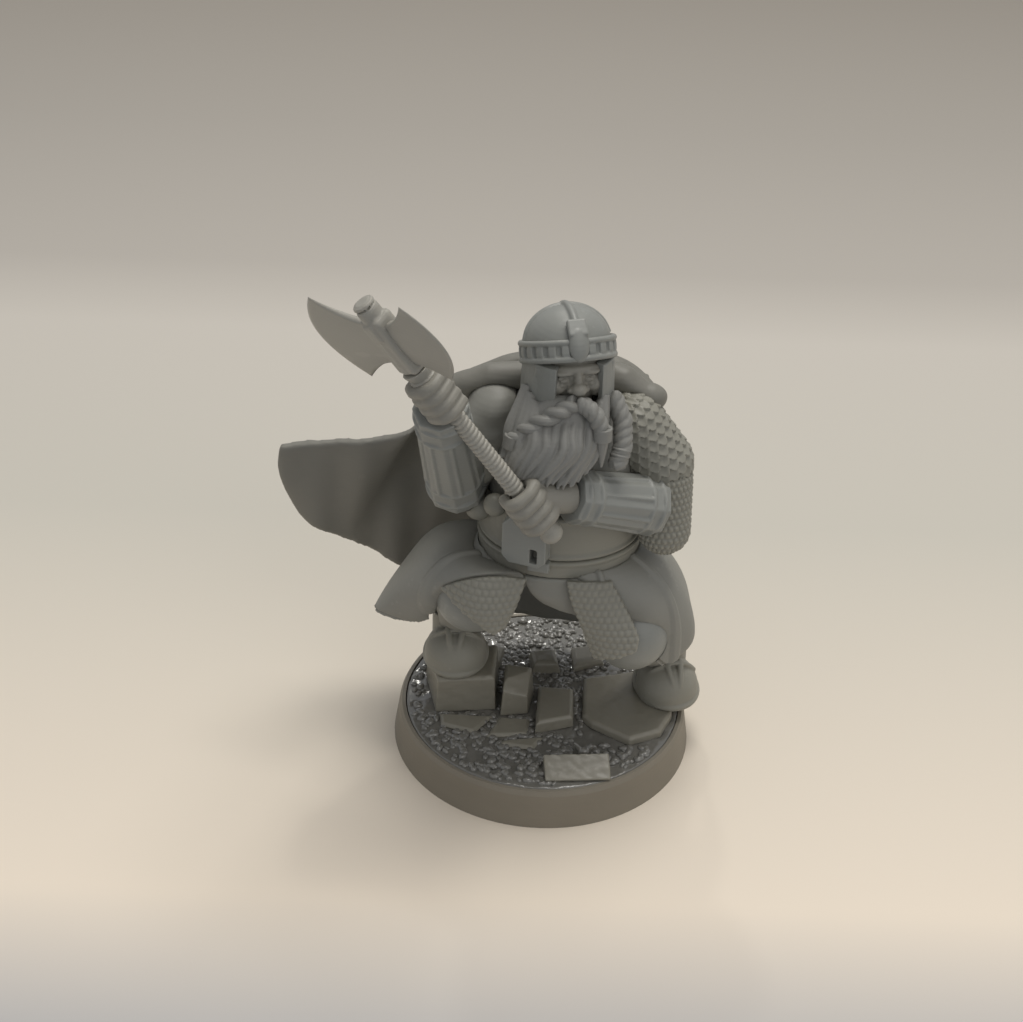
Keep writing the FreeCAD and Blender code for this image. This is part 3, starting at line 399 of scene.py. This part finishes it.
def makeBody():
    voxel, smooth = bodyWork["voxel"], bodyWork["smooth"]
    makePiece("tunic", copyOf("torso"), ["torso"], voxel, smooth, foldRule)
    makePiece("hipCloth", copyOf("hips"), ["hips"], voxel, smooth, foldRule)
    makePiece("underTunic", copyOf("under_tunic"), ["under_tunic"], 0.1, 4, foldRule)
    for side in ("right", "left"):
        makePiece(side + "Leg", copyOf(side + "_thigh", side + "_shin"), [side + "_thigh", side + "_shin"],
                  voxel, smooth, foldRule)
        makePiece(side + "KneeCap", copyOf(side + "_knee_guard"), [side + "_knee_guard"], 0.09, 3)
    for name in ("skirt_left", "skirt_right"):
        makePiece(name + "Cloth", copyOf(name), [name], 0.09, 6, skirtRule, swell=0.14)
    for name in ("mail_flap_left", "mail_flap_right"):
        makePiece(name + "Rings", copyOf(name), [name], 0.075, 2, mailRule, after=1)
    form = copyOf("cloak")
    neckline = [(7.3, 2.4, 31.9), (6.2, 3.6, 32.6), (3.6, 4.2, 33.5), (0.8, 4.3, 33.7), (-2.4, 4.2, 33.3),
                (-5.2, 3.9, 32.6), (-7.6, 3.0, 31.6)]
    strand(form, neckline, [0.8, 1.0, 1.05, 1.05, 1.05, 1.0, 0.8])
    makePiece("cloakCloth", form, ["cloak"], 0.17, 6, cloakRule)
    for name, spot in (("collar_left", (7.2, 1.9, 31.9)), ("collar_right", (-7.3, 2.1, 32.1))):
        form = copyOf(name)
        blob(form, spot, (1.4, 1.2, 1.2))
        makePiece(name + "Roll", form, [name], 0.12, 8, foldRule)
    print("body done")


makeBody()

# boots
bootWork = {"sole": 0.45, "length": 6.6, "width": 5.0}


def makeBoot(side, turn):
    low, high = (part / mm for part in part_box(side + "_boot"))
    middle, half = (low + high) / 2, (high - low) / 2
    spin = Matrix.Rotation(radians(turn), 4, "Z")
    centre = low.z + bootWork["sole"]
    rise = high.z - centre

    def onBoot(x, angle, out=0.0):
        narrow = (1 - (x / bootWork["width"] * 2) ** 2) ** 0.5
        flat = spin @ Vector((x, -(bootWork["length"] / 2 - 0.2 + out) * narrow * cos(angle), 0))
        return middle.x + flat.x, middle.y + flat.y, centre + (rise + out) * narrow * sin(angle)
    form = copyOf(side + "_boot")
    sole = []
    for step in range(24):
        angle = tau * step / 24
        flat = spin @ Vector(((half.x - 0.12) * cos(angle), (half.y - 0.12) * sin(angle), 0))
        sole.append((middle.x + flat.x, middle.y + flat.y, low.z + 0.38))
    strand(form, sole, [0.34] * 24, closed=True)
    for lean in (-0.55, 0.55):
        line = [onBoot(lean * (0.35 + step * 0.16), radians(18 + step * 10)) for step in range(6)]
        strand(form, line, [0.26] * 6)
    for angle in (20, 62):
        line = [onBoot(x * 0.42, radians(angle)) for x in range(-5, 6)]
        strand(form, line, [0.2] * 11)
    makePiece(side + "Boot", form, [side + "_boot"], 0.08, 3)


makeBoot("right", 0)
makeBoot("left", 14)
print("boots done")

# belt
beltWork = {"middle": (0.75, 0.8), "half": (6.3, 5.2)}


def beltLine(form, height, out, radius):
    (x, y), (wide, deep) = beltWork["middle"], beltWork["half"]
    points = []
    for step in range(40):
        angle = tau * step / 40
        points.append((x + (wide + out) * cos(angle), y + (deep + out) * sin(angle), height))
    strand(form, points, [radius] * 40, closed=True)


def makeBelt():
    form = copyOf("belt_wide")
    for height in (20.8, 24.2):
        beltLine(form, height, 0.0, 0.2)
    makePiece("beltBand", form, ["belt_wide"], 0.1, 3)
    form = copyOf("belt_rim")
    beltLine(form, 20.3, 0.12, 0.2)
    makePiece("beltRim", form, ["belt_rim"], 0.1, 4)
    makePiece("buckle", copyOf("buckle_plate"), ["buckle_plate"], 0.07, 3)
    makePiece("buckleTongue", copyOf("buckle_tongue"), ["buckle_tongue"], 0.07, 3)
    makePiece("pouches", copyOf("side_pouches"), ["side_pouches"], 0.09, 4, foldRule)
    print("belt done")


makeBelt()

# arms
armWork = {"row": 0.72, "scaleWidth": 0.85, "scaleRise": 0.24, "knot": 0.52, "knotRise": 0.2, "band": 0.2,
           "ridge": 0.17}
shaftStart, shaftLine = Vector((0.39, -7.0, 24.36)), Vector((-0.574, -0.060, 0.817)).normalized()


# a raised pattern in rows round a limb, either overlapping scales or round knots
def wrapRule(start, end, row, width, rise, overlap):
    line = (end - start).normalized()
    side = line.cross(Vector((0, 1, 0))).normalized()
    front = line.cross(side)

    def rule(place, normal):
        away = place - start
        level = away.dot(line) / row
        level += 60
        step = int(level)
        down = level - step
        angle = atan2(away.dot(front), away.dot(side))
        share = angle * 2.5 / width + 0.5 * (step % 2) + 60
        sideways = 2 * (share - int(share)) - 1
        if overlap:
            edge = down + 0.55 * sideways * sideways
            height = edge if edge < 1 else (edge - 1) * 0.6
            height -= 0.25 * abs(sideways) ** 6
        else:
            height = abs(sin(pi * down)) ** 0.7 * (1 - sideways * sideways) ** 0.7
        return normal * rise * (height - 0.35)
    return rule


def bracerBands(form, start, end, first, last):
    line = (end - start).normalized()
    side = line.cross(Vector((0, 0.3, 1))).normalized()
    front = line.cross(side)
    for share in (0.07, 0.2, 0.8, 0.93):
        wide = first + (last - first) * share
        middle = start.lerp(end, share)
        points = [middle + (side * cos(tau * i / 24) + front * sin(tau * i / 24)) * wide for i in range(24)]
        strand(form, points, [armWork["band"]] * 24, closed=True)
    for i in range(8):
        out = side * cos(tau * (i + 0.5) / 8) + front * sin(tau * (i + 0.5) / 8)
        ridge = [start.lerp(end, 0.2) + out * (first * 0.97), start.lerp(end, 0.8) + out * last]
        strand(form, ridge, [armWork["ridge"]] * 2)


def makeArms():
    makePiece("rightSleeve", copyOf("right_upper_arm"), ["right_upper_arm"], 0.13, 6, foldRule)
    rule = wrapRule(Vector((6.0, 0.8, 30.2)), Vector((8.3, 0.3, 27.1)), armWork["row"], armWork["scaleWidth"],
                    armWork["scaleRise"], True)
    makePiece("scaleSleeve", copyOf("left_upper_arm"), ["left_upper_arm"], 0.075, 4, rule, after=1)
    rule = wrapRule(Vector((8.6, -0.2, 27.0)), Vector((8.9, -1.4, 20.0)), armWork["knot"], armWork["knot"],
                    armWork["knotRise"], False)
    makePiece("mailSleeve", copyOf("left_sleeve"), ["left_sleeve"], 0.075, 4, rule, after=1)
    grip = shaftStart + shaftLine * 15.85
    elbow = Vector((-7.4, -0.9, 24.9))
    for side, start, end in (("right", elbow, grip + (elbow - grip).normalized() * 1.9),
                             ("left", Vector((7.9, -2.0, 24.5)), Vector((1.3, -5.4, 27.3)))):
        form = copyOf(side + "_bracer")
        bracerBands(form, start, end, 2.3, 1.95)
        makePiece(side + "Bracer", form, [side + "_bracer"], 0.085, 4)
    print("arms done")


makeArms()

# hands
handWork = {"finger": 0.56, "turn": 250}


def makeHand(side, along, wrist, nodes):
    middle = shaftStart + shaftLine * along
    toWrist = (wrist - middle)
    toWrist = (toWrist - shaftLine * toWrist.dot(shaftLine)).normalized()
    cross = shaftLine.cross(toWrist)
    if cross.y > 0:
        cross = -cross
    form = bmesh.new()
    rise = 0.92 if side == "left" else 0.85
    for finger in range(4):
        place = middle + shaftLine * (rise * (finger - 1.5))
        points, radii = [], []
        for step in range(9):
            angle = radians(-25 + handWork["turn"] * step / 8)
            out = 1.3 - 0.14 * (step % 3 == 1)
            points.append(place + (toWrist * cos(angle) + cross * sin(angle)) * out)
            radii.append(handWork["finger"] * (1.05 if step in (2, 5) else 0.94) * (0.9 if finger == 3 else 1))
        strand(form, points, radii)
        blob(form, points[2], (0.56, 0.56, 0.5), turnTo(shaftLine))
    blob(form, middle + toWrist * 1.15, (1.0, 1.15, 1.75), turnTo(shaftLine))
    rod(form, middle + toWrist * 0.9, wrist, 1.25, 1.35)
    thumb = [middle + toWrist * 1.5 - cross * 0.5,
             middle + toWrist * 0.6 - cross * 1.35 + shaftLine * 0.6,
             middle - toWrist * 0.5 - cross * 1.3 + shaftLine * 1.2]
    strand(form, thumb, [0.55, 0.52, 0.42])
    makePiece(side + "Fist", form, nodes, 0.075, 3)


makeHand("left", 3.9, Vector((1.3, -5.4, 27.3)), ["left_hand"])
rightGrip = shaftStart + shaftLine * 15.85
toElbow = (Vector((-7.4, -0.9, 24.9)) - rightGrip).normalized()
makeHand("right", 15.85, rightGrip + toElbow * 1.9, ["right_hand"])
print("hands done")

# head, face and helmet
headWork = {"centre": (0.75, -1.0, 36.2), "crown": (0.65, -0.9, 37.5), "turn": 14, "tilt": 26}
faceTurn = Matrix.Rotation(radians(headWork["turn"]), 4, "Z")
crownTurn = faceTurn @ Matrix.Rotation(radians(-headWork["tilt"]), 4, "X")


def onHead(x, y, z):
    return Vector(headWork["centre"]) + faceTurn.to_3x3() @ Vector((x, y, z))


def onCrown(x, y, z):
    return Vector(headWork["crown"]) + crownTurn.to_3x3() @ Vector((x, y, z))


def makeFace():
    form = bmesh.new()
    for place, radii in (
            ((0, 0, 0), (2.7, 2.8, 3.15)), ((-1.7, -1.7, -0.6), (0.9, 0.9, 1.2)),
            ((1.7, -1.7, -0.6), (0.9, 0.9, 1.2)), ((0, -2.35, 0.95), (1.75, 0.55, 0.42)),
            ((-0.95, -2.5, 0.78), (0.8, 0.5, 0.3)), ((0.95, -2.5, 0.78), (0.8, 0.5, 0.3)),
            ((0, -2.75, 0.25), (0.36, 0.5, 0.75)), ((0, -3.3, -0.3), (0.6, 0.62, 0.5)),
            ((-0.5, -3.0, -0.42), (0.38, 0.42, 0.32)), ((0.5, -3.0, -0.42), (0.38, 0.42, 0.32)),
            ((-1.3, -2.2, -0.5), (0.75, 0.6, 0.6)), ((1.3, -2.2, -0.5), (0.75, 0.6, 0.6)),
            ((0, -2.7, -1.75), (0.75, 0.32, 0.2)), ((0, -2.5, -2.6), (1.2, 0.8, 0.7)),
            ((-0.98, -2.42, 0.2), (0.5, 0.36, 0.34)), ((0.98, -2.42, 0.2), (0.5, 0.36, 0.34))):
        blob(form, onHead(*place), radii, faceTurn)
    rod(form, (0.75, -0.6, 31.4), (0.75, -0.9, 34.5), 2.0, 2.0)

    def eyeRule(place, normal):
        push = Vector()
        for x in (-0.98, 0.98):
            away = place - onHead(x, -2.75, -0.02)
            lid = place - onHead(x, -2.75, 0.42)
            push -= normal * 0.16 * max(0, 1 - lid.length / 0.45)
            push -= normal * 0.1 * max(0, 1 - abs(away.length - 0.42) / 0.14) * (away.length < 0.6)
        return push
    makePiece("face", form, ["head"], 0.07, 4, eyeRule, after=1)


def makeHelmet():
    form = bmesh.new()
    blob(form, onCrown(0, 0, 0.55), (3.25, 3.3, 2.75), crownTurn, detail=5)
    lower = bmesh.ops.bisect_plane(form, geom=form.verts[:] + form.edges[:] + form.faces[:],
                                   plane_co=onCrown(0, 0, 0.2) * mm, clear_inner=True,
                                   plane_no=crownTurn.to_3x3() @ Vector((0, 0, 1)))
    bmesh.ops.holes_fill(form, edges=[e for e in lower["geom_cut"] if isinstance(e, bmesh.types.BMEdge)])
    rib = [onCrown(0, -3.3 * cos(radians(a)), 0.55 + 2.78 * sin(radians(a))) for a in range(8, 181, 14)]
    strand(form, rib, [0.3] * len(rib))
    side = [onCrown(3.26 * cos(radians(a)), 0, 0.55 + 2.74 * sin(radians(a))) for a in range(8, 181, 14)]
    strand(form, side, [0.22] * len(side))
    makePiece("helmetDome", form, ["helmet_bowl"], 0.07, 3)

    form = bmesh.new()
    for height in (-0.62, 0.62):
        points = [onCrown(3.48 * cos(tau * i / 36), 3.48 * sin(tau * i / 36), height) for i in range(36)]
        strand(form, points, [0.24] * 36, closed=True)
    rod(form, onCrown(0, 0, -0.72), onCrown(0, 0, 0.72), 3.42, 3.42, sides=72)
    for i in range(22):
        angle = tau * (i + 0.5) / 22
        turn = crownTurn @ Matrix.Rotation(angle, 4, "Z")
        brick(form, onCrown(3.5 * cos(angle), 3.5 * sin(angle), 0), (0.3, 0.62, 0.72), turn, 0.09)
    makePiece("helmetBand", form, ["helmet_band"], 0.07, 2)

    form = bmesh.new()
    low, high = (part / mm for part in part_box("helmet_boss"))
    spot = (low + high) / 2
    turn = crownTurn @ Matrix.Rotation(radians(8), 4, "Z")
    blob(form, spot, (0.8, 0.5, 1.3), turn)
    lean = crownTurn @ Matrix.Rotation(radians(-30), 4, "X")
    brick(form, onCrown(0, -3.35, 1.6), (1.5, 0.5, 1.4), lean, 0.15)
    makePiece("helmetBoss", form, ["helmet_boss"], 0.06, 2)

    for sideName, sign in (("right", -1), ("left", 1)):
        form = copyOf(sideName + "_cheek_guard")
        ridge = [onHead(sign * 2.75, -1.9, 1.0), onHead(sign * 2.95, -1.3, -1.2),
                 onHead(sign * 2.75, -0.9, -3.3)]
        strand(form, ridge, [0.22] * 3)
        makePiece(sideName + "CheekGuard", form, [sideName + "_cheek_guard"], 0.07, 2)
    makePiece("neckGuard", copyOf("neck_guard"), ["neck_guard"], 0.09, 3)
    print("head done")


makeFace()
makeHelmet()

# beard and braids
beardWork = {"strands": 12, "voxel": 0.075, "layers": ((0.0, 0.6), (-0.35, 0.48), (-0.65, 0.36))}


def along(points, share):
    spot = share * (len(points) - 1)
    i = min(int(spot), len(points) - 2)
    return Vector(points[i]).lerp(Vector(points[i + 1]), spot - i)


def makeBeard():
    form = bmesh.new()
    blob(form, (0.4, -4.0, 32.6), (2.7, 1.5, 2.6))
    roots = [(-2.3, -2.6, 35.2), (-1.5, -4.0, 34.2), (0.9, -4.9, 33.6),
             (2.9, -4.0, 34.0), (3.5, -2.8, 34.8)]
    middles = [(-3.3, -4.2, 32.4), (-1.6, -5.6, 32.0), (0.7, -6.0, 31.8),
               (2.6, -5.0, 31.8), (3.3, -4.2, 32.2)]
    tips = [(-4.2, -5.2, 30.0), (-3.3, -6.6, 29.2), (-1.2, -7.0, 28.9),
            (1.2, -6.6, 29.2), (2.6, -5.6, 29.9)]
    for layer, (push, thick) in enumerate(beardWork["layers"]):
        for i in range(beardWork["strands"]):
            share = (i + 0.5 * layer + random.uniform(-0.3, 0.3)) / (beardWork["strands"] - 1)
            share = min(1, max(0, share))
            a, b, c = along(roots, share), along(middles, share), along(tips, min(1, share * 0.9 + 0.04))
            curl = random.uniform(-0.55, 0.55)
            points = [a + Vector((0, push * 0.4, 0)), a.lerp(b, 0.5) + Vector((curl * 0.5, push, 0.1)),
                      b + Vector((-curl * 0.5, push - 0.1, 0)),
                      b.lerp(c, 0.55) + Vector((curl, push * 0.8, 0)),
                      c + Vector((-curl * 0.4, push * 0.3, random.uniform(-0.3, 0.5)))]
            strand(form, points, [thick * 0.7, thick, thick, thick * 0.8, thick * 0.2])
    makePiece("beardStrands", form, ["beard"], beardWork["voxel"], 1)


# cords wound round one another down a path
def twist(form, path, radius, turns, count=2):
    for cord in range(count):
        points, radii = [], []
        steps = turns * 8
        for step in range(steps + 1):
            share = step / steps
            place = along(path, share)
            line = (along(path, min(1, share + 0.02)) - along(path, max(0, share - 0.02))).normalized()
            side = line.cross(Vector((0.1, 1, 0.2))).normalized()
            up = line.cross(side)
            angle = tau * (turns * share / 2 + cord / count)
            points.append(place + (side * cos(angle) + up * sin(angle)) * radius * 0.5)
            radii.append(radius * 0.68)
        strand(form, points, radii)


def makeBraids():
    clasps = bmesh.new()
    right = [(1.35, -4.6, 35.0), (0.2, -5.2, 34.5), (-1.7, -5.2, 33.3), (-3.2, -5.0, 31.9)]
    left = [(1.7, -4.6, 35.0), (2.7, -5.1, 34.5), (3.4, -5.3, 33.0)]
    for name, path, cadName, tip in (("rightMoustache", right, "moustache_right", (-3.6, -5.3, 29.8)),
                                   ("leftMoustache", left, "moustache_left", (3.45, -5.5, 30.0))):
        form = bmesh.new()
        twist(form, path, 0.6, 5)
        last = Vector(path[-1])
        line = (Vector(tip) - last).normalized()
        strand(form, [last - line * 0.3, last + line * 0.9, Vector(tip)], [0.5, 0.6, 0.08])
        makePiece(name, form, [cadName], 0.06, 1)
        for ring in range(3):
            spot = last + line * (0.36 * ring - 0.2)
            rod(clasps, spot - line * 0.16, spot + line * 0.16, 0.72, 0.72)
    form = bmesh.new()
    side = [(4.15, -1.9, 34.2), (5.0, -2.9, 32.6), (5.05, -3.9, 31.0), (4.65, -4.5, 29.6)]
    twist(form, side, 0.66, 6, 3)
    makePiece("sideBraid", form, ["side_braid"], 0.06, 1)
    for ring in range(2):
        spot = along(side, 0.72 + 0.1 * ring)
        blob(clasps, spot, (0.8, 0.8, 0.3), turnTo(Vector((0.3, 0.6, 1.5))))
    makePiece("braidClasps", clasps, ["braid_clasps"], 0.05, 2)
    print("beard done")


makeBeard()
makeBraids()

# axe
axeWork = {"thick": 0.42, "edge": 0.07, "left": 10.2, "right": 6.1}
across = Vector((0.592, -0.720, 0.363))
across = (across - shaftLine * across.dot(shaftLine)).normalized()
flat = across.cross(shaftLine)
headMiddle = shaftStart + shaftLine * 21.1


# a crescent that is thick at the socket and thin at its edge
def makeBlade(form, sign, reach, topHorn, lowHorn):
    for face in (1, -1):
        made = bmesh.ops.create_grid(form, x_segments=48, y_segments=24, size=1)
        for vert in made["verts"]:
            s, t = vert.co.x, (vert.co.y + 1) / 2
            hornHeight, hornOut = topHorn if s > 0 else lowHorn
            rim = reach - (reach - hornOut) * s * s
            root = 1.9 * s
            height = root + (hornHeight * s - root) * t ** 1.7
            thick = axeWork["thick"] * (1 - t) ** 0.8 * (1 - 0.4 * abs(s) ** 3) + axeWork["edge"]
            if abs(s) > 0.999 or t > 0.999:
                thick = 0
            out = 1.0 + (rim - 1.0) * t
            place = headMiddle + shaftLine * height + across * sign * out + flat * face * thick
            vert.co = place * mm
    bmesh.ops.remove_doubles(form, verts=form.verts, dist=1e-6)
    bmesh.ops.recalc_face_normals(form, faces=form.faces)


def makeAxe():
    for name, sign, reach, top, low in (("leftBlade", -1, axeWork["left"], (4.1, 7.1), (4.1, 7.5)),
                                        ("rightBlade", 1, axeWork["right"], (3.6, 4.4), (3.6, 3.6))):
        form = bmesh.new()
        makeBlade(form, sign, reach, top, low)
        makePiece(name, form, ["axe_head"])
    form = bmesh.new()
    turn = Matrix((across, shaftLine, flat)).transposed().to_4x4()
    brick(form, headMiddle, (2.3, 5.2, 1.7), turn, 0.35)
    brick(form, headMiddle + shaftLine * 1.6, (1.5, 1.7, 2.1), turn, 0.3)
    rod(form, headMiddle - shaftLine * 2.4, headMiddle + shaftLine * 3.3, 0.95, 0.85)
    makePiece("axeSocket", form, ["axe_head"], 0.08, 2)

    form = bmesh.new()
    rod(form, shaftStart + shaftLine * 1.5, shaftStart + shaftLine * 25.0, 0.58, 0.58)
    for turn in range(20):
        spot = shaftStart + shaftLine * (5.8 + turn * 0.42)
        rod(form, spot - shaftLine * 0.12, spot + shaftLine * 0.12, 0.7, 0.7)
    for place in (24.0, 24.4, 24.8):
        spot = shaftStart + shaftLine * place
        rod(form, spot - shaftLine * 0.12, spot + shaftLine * 0.12, 0.86, 0.8)
    makePiece("axeShaft", form, ["axe_shaft"], 0.07, 2)

    form = bmesh.new()
    blob(form, shaftStart + shaftLine * 0.85, (0.92, 0.92, 0.85), turnTo(shaftLine))
    rod(form, shaftStart + shaftLine * 1.3, shaftStart + shaftLine * 1.75, 0.8, 0.72)
    makePiece("axePommel", form, ["axe_pommel"], 0.06, 2)
    form = bmesh.new()
    rod(form, headMiddle - shaftLine * 3.6, headMiddle - shaftLine * 2.6, 0.85, 1.15)
    rod(form, headMiddle - shaftLine * 3.7, headMiddle - shaftLine * 3.4, 1.05, 1.05)
    makePiece("axeCollar", form, ["axe_collar"], 0.06, 2)
    print("axe done")


makeAxe()

# floor and light
floorWork = {"size": 3.0, "lamp": 0.42, "sky": 0.43}


def makeFloor():
    material = bpy.data.materials.new("paperWithPaintedShade")
    material.use_nodes = True
    tree = material.node_tree
    tree.nodes.clear()
    where = node(tree, "ShaderNodeTexCoord", {}, {})[3]
    depth = node(tree, "ShaderNodeSeparateXYZ", {}, {"Vector": where})[1]
    share = node(tree, "ShaderNodeMapRange", {}, {"Value": depth, "From Min": -0.04, "From Max": 0.2})[0]
    # painted light and shade on the floor: a bright band just in front of the base, darker bands further back
    # where shade falls, and darker, bluer towards the front edge
    colour = node(tree, "ShaderNodeValToRGB", {"stops": [
        (0.0, tone(158, 162, 168)), (0.08, tone(232, 219, 201)), (0.3, tone(198, 193, 181)),
        (0.46, tone(196, 190, 180)), (0.53, tone(176, 170, 161)), (0.72, tone(162, 156, 147)),
        (1.0, tone(146, 139, 129))]}, {"Fac": share})[0]
    grain = node(tree, "ShaderNodeTexNoise", {}, {"Vector": where, "Scale": 900.0, "Detail": 2.0})[0]
    bump = node(tree, "ShaderNodeBump", {}, {"Height": grain, "Strength": 0.05, "Distance": 0.0001})[0]
    shader = node(tree, "ShaderNodeBsdfPrincipled", {}, {
        "Base Color": colour, "Roughness": 0.6, "Normal": bump})[0]
    node(tree, "ShaderNodeOutputMaterial", {}, {"Surface": shader})
    form = bmesh.new()
    bmesh.ops.create_grid(form, x_segments=1, y_segments=1, size=floorWork["size"] / 2)
    mesh = bpy.data.meshes.new("floor")
    form.to_mesh(mesh)
    form.free()
    floor = bpy.data.objects.new("floor", mesh)
    scene.collection.objects.link(floor)
    floor.data.materials.append(material)


def makeLamp(name, place, size, power, colour):
    data = bpy.data.lights.new(name, "AREA")
    data.size = size
    data.energy = power
    data.color = colour
    lamp = bpy.data.objects.new(name, data)
    scene.collection.objects.link(lamp)
    lamp.location = place
    lamp.rotation_euler = Vector(place).to_track_quat("Z", "Y").to_euler()


makeFloor()
makeLamp("overhead", (0.05, 0.12, 0.5), 0.22, 1.35, (1.0, 0.97, 0.92))
makeLamp("spark", (-0.06, 0.34, 0.36), 0.03, 0.16, (1.0, 0.97, 0.9))
makeLamp("front", (0.3, -0.4, 0.4), 0.4, 0.55, (1.0, 0.96, 0.9))
world = bpy.data.worlds.new("room")
scene.world = world
world.use_nodes = True
world.node_tree.nodes["Background"].inputs[0].default_value = (0.94, 0.96, 1.0, 1)
world.node_tree.nodes["Background"].inputs[1].default_value = floorWork["sky"]
print("light done")
